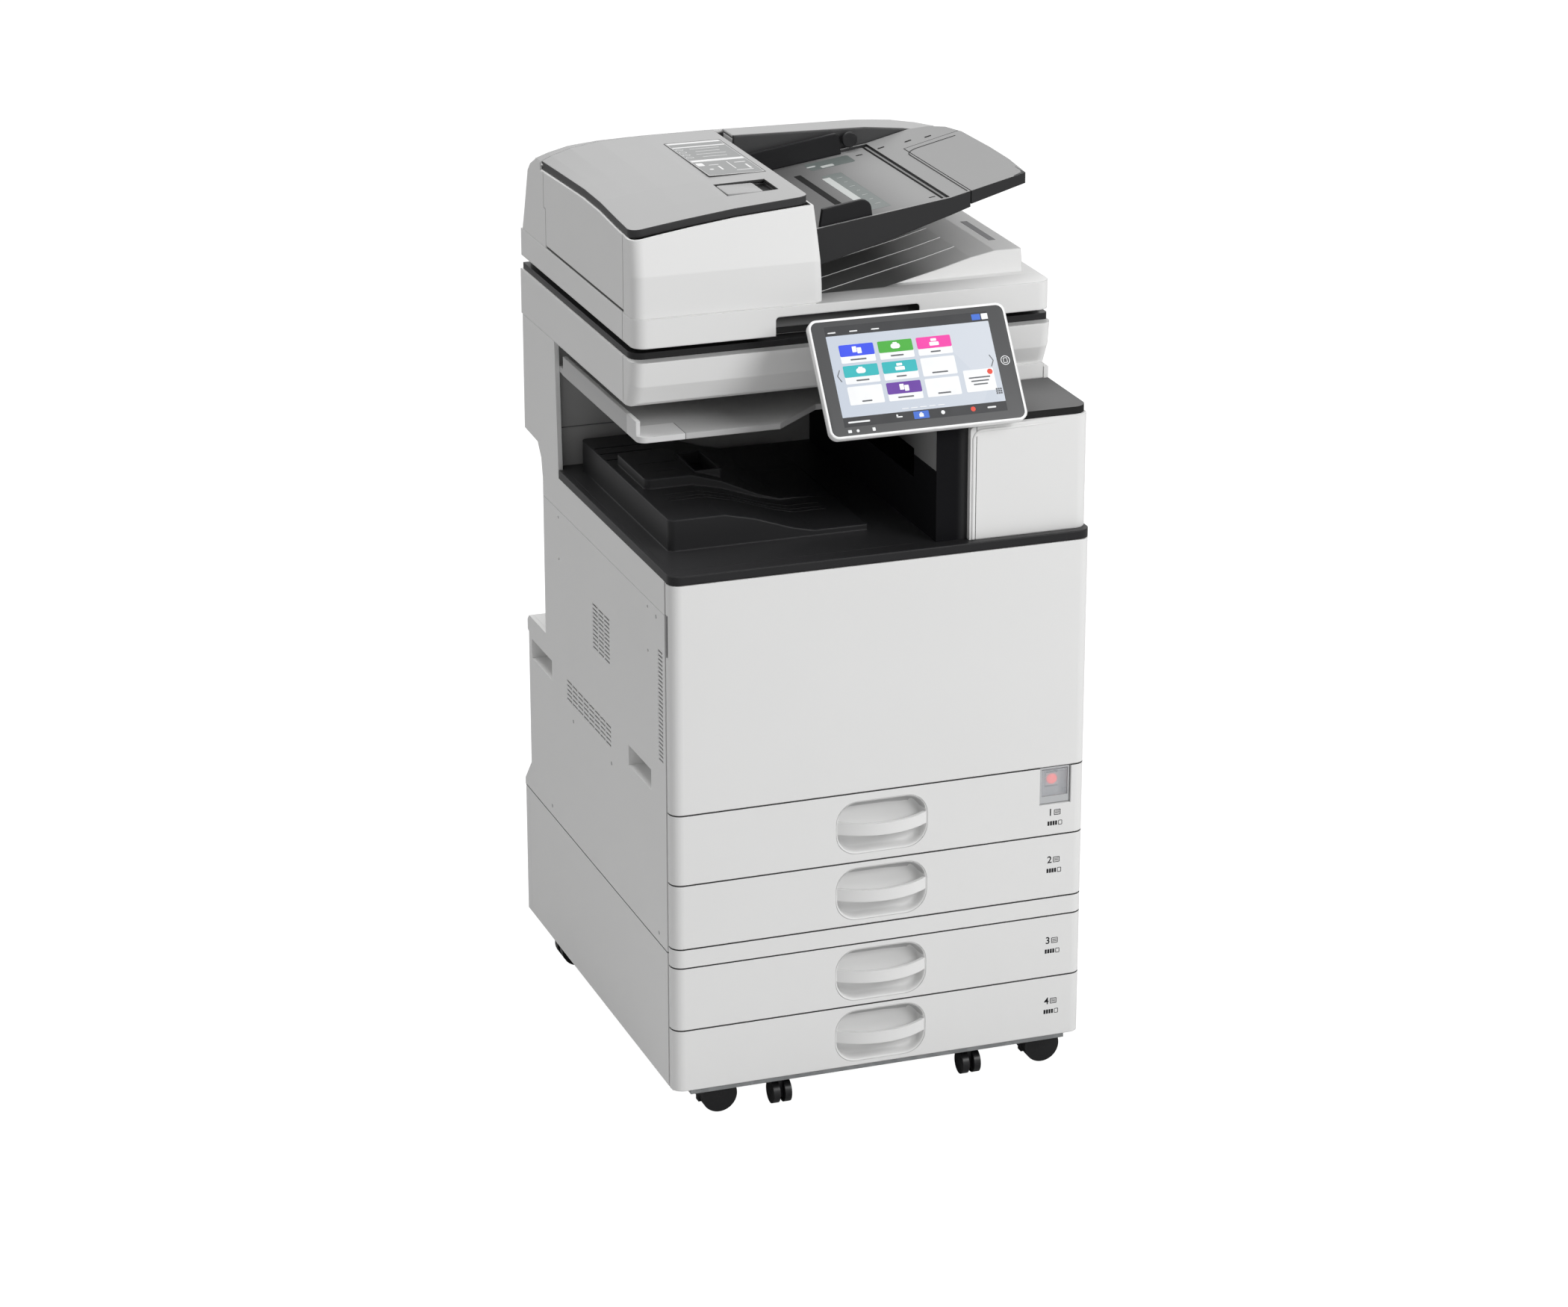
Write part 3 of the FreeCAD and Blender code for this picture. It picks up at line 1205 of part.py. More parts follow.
def feeder_housing():
    wall = "feeder_wall"
    shell_sink = "cover_rim + 2 * running_gap"

    def unit(sink, inset, ends):
        right = f"feeder_left_right - {inset}"
        floor = f"feeder_base_top - 2 * ({inset})"
        return crowned(sink, inset, ends, lambda line: line + [
            (right, f"feeder_top - ({sink})"), (f"{right} + feeder_lean", floor), (f"{LEFT} + {inset}", floor)])

    def leaning(inset):
        """The front and back limits of the unit: upright to the crease, then leaning back."""
        profile = [("feeder_left_front", "feeder_base_top - 10"), ("feeder_left_front", "feeder_crease"),
                   ("feeder_left_front + feeder_setback", "feeder_top"), ("feeder_cover_back", "feeder_top"),
                   ("feeder_cover_back", "feeder_base_top - 10")]
        signs = (1, 1, 1, -1, -1)
        line = [(back(f"{y} + {sign} * ({inset})"), z) for sign, (y, z) in zip(signs, profile)]
        return prism("x", line, (f"{LEFT} + {inset}", f"feeder_left_right + feeder_lean - ({inset})"))

    front_span = (back("feeder_left_front"), back("feeder_left_front + feeder_setback"))
    inner_span = tuple(f"{place} + {wall}" for place in front_span)
    sides = [{"x": x, "y": front_span} for x in (LEFT, "feeder_left_right + feeder_lean - (0)")]
    inner_sides = [{"x": x, "y": inner_span} for x in (f"{LEFT} + {wall}", f"feeder_left_right + feeder_lean - ({wall})")]
    ends = (back("feeder_left_front - 1"), back("feeder_cover_back + 1"))
    outside = common(rounded(leaning("0"), "corner_radius", *sides), unit(shell_sink, "0", ends))
    inside = common(rounded(leaning(wall), f"corner_radius - {wall}", *inner_sides), unit(f"{shell_sink} - 2 * {wall}", wall, ends))

    def hood_limits(sink, inset):
        rear = [("feeder_cover_back", 0), ("feeder_cover_back + 12", 8), ("feeder_cover_back + 23", 26),
                ("feeder_cover_back + 46", 37), ("feeder_cover_back + 59", 49), ("feeder_cover_back + 79", 112)]
        outline = [(f"{LEFT} + {inset}", "feeder_base_top")]
        outline += left_crown(5, "crown_drop_6", sink, inset) + right_crown(sink, inset)
        outline += [(f"feeder_base_right - ({inset})", "feeder_base_top")]
        across = prism("y", outline, (back(f"hood_front + {inset}"), back("scanner_rear")))
        profile = [(back(f"hood_front + {inset}"), "feeder_base_top"), (back(f"hood_front + {inset}"), f"feeder_top - {inset}")]
        profile += [(back(f"{y} - {inset}"), f"feeder_top - {drop} - {inset}") for y, drop in rear]
        profile += [(back(f"hood_rear - {inset}"), "feeder_base_top")]
        return common(across, prism("x", profile, (LEFT, RIGHT)))

    edge = "feeder_left_right + feeder_lean"
    cover_space = box((f"{LEFT} - 1", edge), (back("hood_front - 1"), back("feeder_cover_back")),
                      ("feeder_base_top - 1", "feeder_top + 1"))
    hood = cut(hood_limits("0", "0"), hood_limits(wall, wall), cover_space)
    hood_wall = box((LEFT, f"{edge} + {wall}"), (back("feeder_cover_back"), back(f"feeder_cover_back + {wall}")),
                    ("feeder_base_top", "feeder_top - crown_drop_6 - cover_rim"))
    end_wall = box((edge, f"{edge} + {wall}"), (back("hood_front"), back("feeder_cover_back")),
                   ("feeder_base_top", f"feeder_top - crown_right_step - {wall}"))
    table_lugs = []
    for near, far, tip in (("table_front - running_gap", "table_front - running_gap - lug_thickness", "table_front + table_skin - 1"),
                           ("table_back + running_gap", "table_back + running_gap + lug_thickness", "table_back - table_skin + 1")):
        front = "front" in near
        table_lugs.append(box((f"feeder_left_right + {wall} / 2", "table_pin_x + 2 * hinge_pin"),
                              (back(far if front else near), back(near if front else far)),
                              ("table_pin_z - 2 * hinge_pin", "table_pin_z + 2 * hinge_pin")))
        table_lugs.append(pin("y", TABLE_PIN, (back(far if front else tip), back(tip if front else far))))
    rear = "scanner_rear - rear_seam_inset"
    seams = [side_groove(("corner_seam - 5", "corner_seam - 5 + groove_width"), ("feeder_base_top", "feeder_top")),
             side_groove((rear, f"{rear} + groove_width"), ("feeder_crease", "feeder_top")),
             side_groove((f"{rear} - 8", f"{rear} + groove_width"), ("feeder_crease - groove_width", "feeder_crease")),
             side_groove((f"{rear} - 8", f"{rear} - 8 + groove_width"), ("feeder_base_top", "feeder_crease")),
             side_groove(("corner_seam - 5", f"{rear} - 8"), ("feeder_base_top - 1", "feeder_base_top + shadow_gap"),
                         "feeder_wall / 2")]
    cover_pin = rod("y", COVER_PIN, "cover_pin", (back("feeder_cover_back - 6"), back(f"feeder_cover_back + {wall}")))
    return join(cut(join(cut(outside, inside), hood, hood_wall), *seams), end_wall, cover_pin, *table_lugs)


piece("feeder_housing", feeder_housing())


def feeder_top_cover():
    wall = "cover_skin"

    def slab(inset):
        y = (back(f"crown_front + {inset}"), back(f"feeder_cover_back - seam - ({inset})"))

        def finish(line):
            top = line + [(f"cover_right - ({inset})", f"feeder_top - ({inset})")]
            return top + [(x, f"{z} - cover_rim") for x, z in reversed(top)]

        plan = box((f"{LEFT} + cover_inset + {inset}", f"cover_right - ({inset})"), y,
                   ("feeder_top - 60", "feeder_top + 10"))
        corners = [{"x": x, "y": y[0]} for x in (f"{LEFT} + cover_inset + {inset}", f"cover_right - ({inset})")]
        skin = crowned(inset, "0", (back("crown_front"), back("feeder_cover_back")), finish)
        return common(skin, rounded(plan, f"corner_radius - {inset}", *corners))

    grip = box(("-recess_left", "-recess_right"), (back("recess_front"), back("recess_back")),
               ("feeder_top - cover_rim + 1", "feeder_top + 1"))
    grip_shell = box(("-recess_left - skin", "-recess_right + skin"), (back("recess_front - skin"), back("recess_back + skin")),
                     ("feeder_top - cover_rim - 1", "feeder_top - 6"))
    pin_space = rod("y", COVER_PIN, "cover_pin + pin_play", (back("feeder_cover_back - 6 - seam"), back("feeder_cover_back")))
    return cut(join(cut(slab("0"), slab(wall)), grip_shell), grip, pin_space)


piece("feeder_top_cover", feeder_top_cover())

# Document table: a hollow ramp that bends up at its outer end, where the extension slides out of it
BEND_RUN = "(table_right - table_bend)"
TABLE_SLOPE = "((table_bend_z - table_low_z) / (table_bend - table_left))"
TIP_SLOPE = f"((table_tip_z - table_bend_z) / {BEND_RUN})"


def table_z(x):
    """Height of the table's rim over a place on its straight inner part."""
    return f"table_low_z + {TABLE_SLOPE} * ({x} - table_left)"


def tip_z(x):
    return f"table_bend_z + {TIP_SLOPE} * (({x}) - table_bend)"


def table_section(sink, inset):
    return [
        (f"table_left + {inset}", f"table_low_z - {sink}"),
        ("table_bend", f"table_bend_z - {sink}"),
        (f"table_right - {inset}", f"table_tip_z - {sink}"),
        (f"table_right - {inset}", f"table_tip_z - table_tip_depth + {inset} / 2"),
        ("table_bend", f"table_bend_z - table_bend_depth + {inset} / 2"),
        ("table_bend / 2", f"table_bend_z - table_bend_depth * 2 + {inset} / 2"),
        (f"table_left + table_undercut + {inset}", f"table_low_z - table_wall_depth + {inset} / 2"),
    ]


def table_plan(inset):
    """Outline of the table seen from above, its rear right corner well rounded."""
    y = (back(f"table_front + {inset}"), back(f"table_back - ({inset})"))
    right = f"table_right - ({inset})"
    outline = [(f"table_left - 1 + ({inset})", y[0]), (f"table_front_right - ({inset})", y[0]),
               (f"{right} - 1", back("table_front + 70")), (right, back("table_front + 140")),
               (f"{right} - 2", back("table_back - table_round * 1.6")), (f"{right} - 0.2 * table_round", back("table_back - 0.8 * table_round")),
               (f"{right} - 0.5 * table_round", back("table_back - 0.3 * table_round")), (f"{right} - table_round", y[1]),
               (f"table_left - 1 + ({inset})", y[1])]
    return prism("z", outline, ("table_low_z - 60", "table_tip_z + 10"))


def document_table():
    wall = "table_skin"
    y = (back("table_front"), back("table_back"))
    inner_y = (f"{y[0]} + {wall}", f"{y[1]} - {wall}")
    ramp = common(prism("y", table_section("0", "0"), y), table_plan("0"))
    under = [
        (f"table_left - 1", f"table_low_z - table_sink - {wall}"),
        ("table_bend", f"table_bend_z - table_sink - {wall}"),
        (f"table_right - {wall}", f"{tip_z(f'table_right - {wall}')} - table_sink - {wall}"),
        (f"table_right - {wall}", "table_low_z - table_wall_depth - 1"),
        (f"table_left - 1", f"table_low_z - table_wall_depth - 1"),
    ]
    hollow = common(prism("y", under, inner_y), table_plan(wall))
    sink = [
        ("table_left - 1", "table_low_z - table_sink"),
        ("table_bend", "table_bend_z - table_sink"),
        ("table_bend", "table_bend_z + 1"),
        ("table_left - 1", "table_low_z + 1"),
    ]
    surface = prism("y", sink, inner_y)
    bay = box(("extension_left - seam", "table_right + 1"), (back("table_front - 1"), back("extension_back + seam")),
              ("table_low_z", "table_tip_z + 10"))
    holes = [pin_hole("y", TABLE_PIN, (back(low), back(high))) for low, high in (
        ("table_front - 1", "table_front + table_skin - 1 + running_gap"),
        ("table_back - table_skin + 1 - running_gap", "table_back + 1"))]
    return cut(ramp, hollow, surface, bay, *holes)


piece("document_table", document_table())


def table_extension():
    """The outer panel of the table, with a tongue that runs back under the fixed surface."""
    y = (back("table_front"), back("extension_back"))
    left = "extension_left"
    depth = "table_tip_depth"
    panel = [(left, tip_z(left)), ("table_right", "table_tip_z"), ("table_right", f"table_tip_z - {depth}"),
             (left, f"{tip_z(left)} - {depth} - 4")]
    inner = [(f"{left} + skin", f"{tip_z(left)} - skin"), ("table_right - skin", "table_tip_z - skin"),
             ("table_right - skin", f"table_tip_z - {depth} - 1"), (f"{left} + skin", f"{tip_z(left)} - {depth} - 6")]
    start = f"{left} - tongue_length"
    under = "(table_sink + table_skin + running_gap)"
    tongue = [(start, f"{tip_z(start)} - {under}"), (f"{left} + skin", f"{tip_z(f'{left} + skin')} - {under}"),
              (f"{left} + skin", f"{tip_z(f'{left} + skin')} - {under} - 2"), (start, f"{tip_z(start)} - {under} - 2")]
    shell = cut(common(prism("y", panel, y), table_plan("0")),
                common(prism("y", inner, (f"{y[0]} + skin", f"{y[1]} - skin")), table_plan("skin")))
    return join(shell, prism("y", tongue, (f"{y[0]} + 4 * table_skin", f"{y[1]} - 4 * table_skin")))


piece("table_extension", table_extension())


def side_guide(name, span):
    left, right, height = (f"{name}_{end}" for end in ("left", "right", "height"))
    low = "(table_sink - running_gap)"
    outline = [(left, f"{table_z(left)} - {low}"), (right, f"{table_z(right)} - {low}"),
               (f"{right} - guide_lean", f"{table_z(right)} + {height}"),
               (f"{left} + guide_lean", f"{table_z(left)} + {height}")]
    return rounded(prism("y", outline, span), f"{name}_round", dict(zip("xz", outline[2])))


piece("front_guide", side_guide("front_guide", (back("table_front + table_skin + seam"),
                                                back("table_front + table_skin + seam + guide_thickness"))))
piece("rear_guide", side_guide("rear_guide", (back("table_back - table_skin - seam - guide_thickness"),
                                              back("table_back - table_skin - seam"))))


# Operation panel: a flat tablet that leans back, on a hinge barrel carried by an arm from the scanner
def operation_panel():
    def slab(inset, z):
        half = (f"(panel_width / 2 - {inset})", f"(panel_height / 2 - {inset})")
        corners = [{"x": f"{s}{half[0]}", "y": f"{t}{half[1]}"} for s in ("-", "") for t in ("-", "")]
        return rounded(box(*[(f"-{size}", size) for size in half], z), "panel_radius", *corners)

    panel = group(join(slab("0", ("-panel_rim", "0")),
                       slab("panel_back_inset", ("-panel_rim - panel_back", "-panel_rim"))))
    panel.Placement = FreeCAD.Placement(FreeCAD.Vector(), FreeCAD.Rotation(FreeCAD.Vector(1, 0, 0), 90))
    bind(panel, "Placement.Rotation.Angle", "90 - panel_tilt")
    for axis, text in (("x", "panel_x"), ("y", back("panel_y")), ("z", "panel_z")):
        bind(panel, f"Placement.Base.{axis}", text)
    return panel


piece("operation_panel", operation_panel())
LEAN_SIN = "sin(panel_tilt * 1 deg)"
LEAN_COS = "cos(panel_tilt * 1 deg)"
PIVOT_Y = back(f"panel_y + pivot_up * {LEAN_SIN} + pivot_behind * {LEAN_COS}")
PIVOT_Z = f"panel_z + pivot_up * {LEAN_COS} - pivot_behind * {LEAN_SIN}"
BARREL = "pivot_behind - panel_rim - panel_back - running_gap"


def panel_bracket():
    x = ("arm_left", "arm_right")
    barrel = rod("x", (PIVOT_Y, PIVOT_Z), BARREL, x)
    arm = [(PIVOT_Y, f"{PIVOT_Z} + {BARREL}"), (back("scanner_top_front + 12"), "scanner_top - 8"),
           (back("scanner_top_front + 12"), "scanner_top - 30"), (PIVOT_Y, f"{PIVOT_Z} - {BARREL}")]
    return cut(join(barrel, prism("x", arm, x)), scanner_front_copy())


def scanner_front_copy():
    """Space that the scanner's front takes, so the arm ends flush on it."""
    profile = [("scanner_top_front", "scanner_top + 5"), ("scanner_top_front", "scanner_top"),
               ("scanner_top_front + 5", "scanner_top - 34"), ("scanner_base_front + 60", "scanner_top - 34"),
               ("scanner_base_front + 60", "scanner_top + 5")]
    return prism("x", [(back(y), z) for y, z in profile], ("arm_left - 1", "arm_right + 1"))


piece("panel_bracket", panel_bracket())


# Front door over the toner and the drum, hinged on its right edge
def front_door():
    low, high = f"{LEVELS['door']} + seam", f"{LEVELS['rim']} - seam"
    inside = box((f"{LEFT} + 2 * skin", f"{RIGHT} - 2 * skin"), (back("skin"), back("front_depth + 1")),
                 (f"{low} + skin", f"{high} - skin"))
    corners = [{"x": f"{s}(body_half_width - 2 * skin)", "y": back("skin")} for s in ("-", "")]
    door_grip = box((f"{LEFT} - 1", f"{LEFT} + 6"), (back("front_depth - 7"), back("front_depth + 1")),
                    ("dock_centre_z - 15", "dock_centre_z + 44"))
    return cut(front_panel(low, high), rounded(inside, "corner_radius - 2 * skin", *corners), door_grip,
               pin_hole("z", FRONT_PIN, (f"{high} - skin - 1", f"{high} + 1")))


piece("front_door", front_door())


# Drawers: a front with a bowed grip bar over a hollow, and a paper pan on two runners
def tray_front(name):
    low, high = f"{LEVELS[name]} + seam", f"{LEVELS[name]} + {name}_height"
    middle = f"{LEVELS[name]} + {name}_height / 2"
    recess = box(("-handle_width / 2", "handle_width / 2"), (back("-1"), back("recess_depth")),
                 (f"{middle} - handle_height / 2", f"{middle} + handle_height / 2"))
    corners = [{"x": f"{s}handle_width / 2", "z": f"{middle} {t} handle_height / 2"} for s in ("-", "") for t in "+-"]
    grip_z = (f"{middle} - grip_drop", f"{middle} - grip_drop + grip_height")
    centre = ("0", back("grip_radius - grip_bow"))
    ring = cut(rod("z", centre, "grip_radius", grip_z),
               rod("z", centre, "grip_radius - grip_thickness", (f"{grip_z[0]} - 1", f"{grip_z[1]} + 1")))
    grip = common(ring, box(("-handle_width / 2 - 1", "handle_width / 2 + 1"), (back("-grip_bow - 1"), back("4")), grip_z))
    panel = join(cut(front_panel(low, high), rounded(recess, "handle_round", *corners)), grip)
    if name == "tray_1":
        window = box(("switch_left", "switch_right"), (back("-1"), back("front_depth + 1")),
                     (f"{high} - switch_depth", f"{high} + 1"))
        panel = cut(panel, window)
    return panel


PAN_LEFT = f"{FRAME_LEFT} + sheet_steel + runner_play"
PAN_RIGHT = f"{INNER_RIGHT} - sheet_steel - runner_play"


def tray_pan(name):
    low = f"{LEVELS[name]} + pan_lift"
    high = f"{low} + pan_height"
    left, right = f"{PAN_LEFT} + runner_width", f"{PAN_RIGHT} - runner_width"
    y = (back("front_depth"), back("front_depth + pan_length"))
    pan = cut(box((left, right), y, (low, high)),
              box((f"{left} + pan_wall", f"{right} - pan_wall"), (f"{y[0]} + pan_wall", f"{y[1]} - pan_wall"),
                  (f"{low} + pan_wall", f"{high} + 1")))
    ledge = f"{LEVELS[name]} + runner_level + runner_thickness + running_gap"
    wings = [box(x, (f"{y[0]} + frame_start", y[1]), (ledge, f"{ledge} + runner_thickness"))
             for x in ((PAN_LEFT, left), (right, PAN_RIGHT))]
    return join(pan, *wings)


def runners():
    """Two ledges for each drawer, fixed to the frame walls."""
    ledges = []
    for name in ("tray_1", "tray_2", "tray_3", "tray_4"):
        low = f"{LEVELS[name]} + runner_level"
        z = (low, f"{low} + runner_thickness")
        for x in ((f"{FRAME_LEFT} + sheet_steel", f"{PAN_LEFT} + runner_width - runner_play"),
                  (f"{PAN_RIGHT} - runner_width + runner_play", f"{INNER_RIGHT} - sheet_steel")):
            ledges.append(box(x, (back("frame_start + 10"), back("front_depth + pan_length")), z))
    return group(*ledges)


for name in ("tray_1", "tray_2", "tray_3", "tray_4"):
    piece(f"{name}_front", tray_front(name))
    piece(f"{name}_pan", tray_pan(name))
piece("drawer_runners", runners())

# Main switch: a fixed box behind the top drawer's window, a rocker in it and a clear flap over it
SWITCH_X = ("switch_left + seam", "switch_right - seam")
SWITCH_TOP = f"{LEVELS['door']} - seam"
SWITCH_LOW = f"{LEVELS['door']} - switch_depth + seam"
ROCKER_Z = f"{LEVELS['door']} - 22"


def switch_box():
    shell = box(SWITCH_X, (back("3"), FRAME_FRONT), (SWITCH_LOW, SWITCH_TOP))
    hollow = box((f"{SWITCH_X[0]} + skin", f"{SWITCH_X[1]} - skin"), (back("2"), back("14")),
                 (f"{SWITCH_LOW} + 10", f"{SWITCH_TOP} - skin"))
    opening = box((f"{SWITCH_X[0]} + 12", f"{SWITCH_X[1]} - 12"), (back("13"), back("rocker_depth + 6")),
                  (f"{ROCKER_Z} - 12", f"{ROCKER_Z} + 12"))
    hanger = box(SWITCH_X, (back("front_depth + seam"), FRAME_FRONT), (SWITCH_TOP, "shelf_height + sheet_steel"))
    return cut(join(shell, hanger), hollow, opening)


piece("switch_box", switch_box())


def power_switch():
    x = (f"{SWITCH_X[0]} + 12 + running_gap", f"{SWITCH_X[1]} - 12 - running_gap")
    face = [("rocker_depth - 6", f"{ROCKER_Z} + 9"), ("rocker_depth - 4.5", ROCKER_Z), ("rocker_depth - 6", f"{ROCKER_Z} - 9"),
            ("rocker_depth", f"{ROCKER_Z} - 8"), ("rocker_depth", f"{ROCKER_Z} + 8")]
    return join(rod("x", (back("rocker_depth"), ROCKER_Z), "4.5", x), prism("x", [(back(y), z) for y, z in face], x))


piece("power_switch", power_switch())


def switch_flap():
    x = (f"{SWITCH_X[0]} + skin + running_gap", f"{SWITCH_X[1]} - skin - running_gap")
    top = f"{SWITCH_TOP} - skin - seam"
    pane = box(x, (back("4"), back("4 + flap_thickness")), (f"{top} - flap_height", top))
    return join(pane, rod("x", (back("4 + flap_thickness / 2"), f"{top} - flap_thickness"), "flap_pin", x))


piece("switch_flap", switch_flap())

# Right side door with the upright paper path, and the bypass tray that folds down on two pins at its foot
BYPASS_PIN = (f"{RIGHT} - right_pin_inset", "bypass_low + bypass_pivot")


def right_door():
    y = (back("right_door_front"), back("right_door_back"))
    z = ("right_door_low", "right_door_high")
    skin = box((f"{RIGHT} - bypass_depth - skin", RIGHT), y, z)
    bay = box((f"{RIGHT} - bypass_depth", f"{RIGHT} + 1"), (back("bypass_front"), back("bypass_back")), ("bypass_low", "bypass_high"))
    path = box((f"{INNER_RIGHT} + 4", f"{RIGHT} - bypass_depth - skin"),
               (f"{y[0]} + 12", f"{y[1]} - 12"), (f"{z[0]} + 8", f"{z[1]} - 8"))
    hollow = box((f"{INNER_RIGHT} + 3", f"{RIGHT} - bypass_depth - 2 * skin"),
                 (f"{y[0]} + 16", f"{y[1]} - 16"), (f"{z[0]} + 12", f"{z[1]} - 12"))
    holes = [pin_hole("z", RIGHT_PIN, span) for span in (
        (f"{z[0]} - 1", f"{z[0]} + pin_length + running_gap"), (f"{z[1]} - pin_length - running_gap", f"{z[1]} + 1"))]
    pins = [pin("y", BYPASS_PIN, span) for span in (
        (back("bypass_front - 1"), back("bypass_front + pin_length")),
        (back("bypass_back - pin_length"), back("bypass_back + 1")))]
    return join(cut(join(skin, path), bay, hollow, *holes), *pins)


piece("right_door", right_door())


def bypass_tray():
    play = "seam"
    tray = box((f"{RIGHT} - seam - bypass_thickness", f"{RIGHT} - seam"), (back(f"bypass_front + {play}"), back(f"bypass_back - {play}")),
               (f"bypass_low + {play}", f"bypass_high - {play}"))
    tray = rounded(tray, "bypass_thickness / 3", {"x": f"{RIGHT} - seam", "z": f"bypass_high - {play}"},
                   {"x": f"{RIGHT} - seam", "z": f"bypass_low + {play}"},
                   {"x": f"{RIGHT} - seam - bypass_thickness", "z": f"bypass_low + {play}"})
    return cut(tray, *[pin_hole("y", BYPASS_PIN, (back(low), back(high))) for low, high in (
        ("bypass_front", "bypass_front + pin_length + running_gap"), ("bypass_back - pin_length - running_gap", "bypass_back"))])


piece("bypass_tray", bypass_tray())


def bank_door():
    """The whole right side of the bank, hinged at the rear, with the paper path on its inner face."""
    panel = box((f"{RIGHT} - 2 * skin", RIGHT), (back("bank_door_front"), back("bank_door_back")),
                (f"{LEVELS['tray_4']} + seam", "bank_height - seam / 2"))
    y = ("bank_path_front", "bank_path_back")
    z = ("bank_path_low", "bank_path_high")
    path = box((f"{INNER_RIGHT} + 4", f"{RIGHT} - 2 * skin"), tuple(back(place) for place in y), z)
    hollow = box((f"{INNER_RIGHT} + 3", f"{RIGHT} - 3 * skin"), (back(f"{y[0]} + 4"), back(f"{y[1]} - 4")),
                 (f"{z[0]} + 4", f"{z[1]} - 4"))
    pull = box((f"{RIGHT} - skin", f"{RIGHT} + 1"), (back("bank_door_front + 12"), back("bank_door_front + 30")),
               (f"{z[0]} + 30", f"{z[0]} + 70"))
    ends = [box((f"{RIGHT} - 2 * skin - 1", f"{RIGHT} + 1"), (back("bank_pin_y - bank_lug_half_y"), back("bank_depth")), z)
            for z in ((LEVELS["tray_4"], f"{LEVELS['tray_4']} + sheet_steel + running_gap"),
                      ("bank_height - sheet_steel - running_gap", "bank_height"))]
    lug = box(("bank_pin_x - bank_lug_half_x", f"{RIGHT} - 2 * skin"),
              (back("bank_pin_y - bank_lug_half_y"), back("bank_pin_y + bank_lug_half_y")),
              (f"{LEVELS['tray_4']} + sheet_steel + running_gap", "bank_height - sheet_steel - running_gap"))
    holes = [pin_hole("z", ("bank_pin_x", back("bank_pin_y")), (low, high)) for low, high in (
        (LEVELS["tray_4"], f"{LEVELS['tray_4']} + sheet_steel + pin_length + running_gap"),
        ("bank_height - sheet_steel - pin_length - running_gap", "bank_height"))]
    return cut(join(panel, path, lug), hollow, pull, *ends, *holes)


piece("bank_door", bank_door())


# Units inside the engine
def drum():
    plates = ("inner_plate + sheet_steel + running_gap", "engine_depth - sheet_steel - running_gap")
    body = rod("y", DRUM_PLACE, "drum_radius", tuple(back(place) for place in plates))
    shaft = rod("y", DRUM_PLACE, "drum_shaft", (back("inner_plate"), back("engine_depth")))
    return join(body, shaft)


piece("drum", drum())


def toner_bottle():
    start = back("frame_start + running_gap")
    body = rod("y", BOTTLE_PLACE, "bottle_radius", (start, f"{start} + bottle_length"))
    neck = rod("y", BOTTLE_PLACE, "bottle_radius / 2", (f"{start} + bottle_length", f"{start} + bottle_length + 30"))
    return join(body, neck)


piece("toner_bottle", toner_bottle())


def unit_box(x, z):
    shell = box(x, (back("unit_front"), back("unit_back")), z)
    return rounded(shell, "4", *[{"x": side, "z": z[1]} for side in x])


FUSER_Z = ("fuser_low", "fuser_low + fuser_height")
FUSER_RIGHT = f"{INNER_RIGHT} - sheet_steel"


def fuser_unit():
    shell = unit_box((f"{FUSER_RIGHT} - fuser_width", FUSER_RIGHT), FUSER_Z)
    slot = box((f"{FUSER_RIGHT} - fuser_width / 2 - 3", f"{FUSER_RIGHT} - fuser_width / 2 + 3"),
               (back("unit_front + 30"), back("unit_back - 30")), ("fuser_low - 1", "fuser_low + fuser_height + 1"))
    return cut(shell, slot)


piece("fuser_unit", fuser_unit())
piece("laser_unit", unit_box(("-laser_left", "laser_right"),
                             ("shelf_height + sheet_steel", "shelf_height + sheet_steel + laser_height")))
piece("electronics_box", box(("-box_half_width", "box_half_width"),
                             (back("engine_depth"), back("engine_depth + electronics_depth")),
                             ("electronics_low", "electronics_high")))

# Casters: four twin-wheel swivel casters, and two small fixed ones under the front
FLOOR_PAN = LEVELS["tray_4"]
CORNERS = {
    "front_left": ("-caster_spread", "front_caster_y", "+"),
    "front_right": ("caster_spread", "front_caster_y", "+"),
    "rear_left": ("-caster_spread", "rear_caster_y", "-"),
    "rear_right": ("caster_spread", "rear_caster_y", "-"),
}


def caster_fork(x, y, trail):
    axle_x = f"{x} {trail} caster_trail"
    top = f"{FLOOR_PAN} - running_gap"
    stem = rod("z", (x, back(y)), "stem_radius", ("wheel_radius", top))
    plate = rod("z", (x, back(y)), "plate_radius", (f"{top} - plate_thickness", top))
    web = box((f"{x} + {trail}caster_trail / 2 - 3.5 * stem_radius", f"{x} + {trail}caster_trail / 2 + 3.5 * stem_radius"),
              (back(f"{y} - fork_width / 2"), back(f"{y} + fork_width / 2")), ("wheel_radius / 2", "wheel_radius * 1.5"))
    reach = "(fork_width / 2 + running_gap + wheel_width)"
    axle = rod("y", (axle_x, "wheel_radius"), "axle_radius", (back(f"{y} - {reach}"), back(f"{y} + {reach}")))
    return join(stem, plate, web, axle)


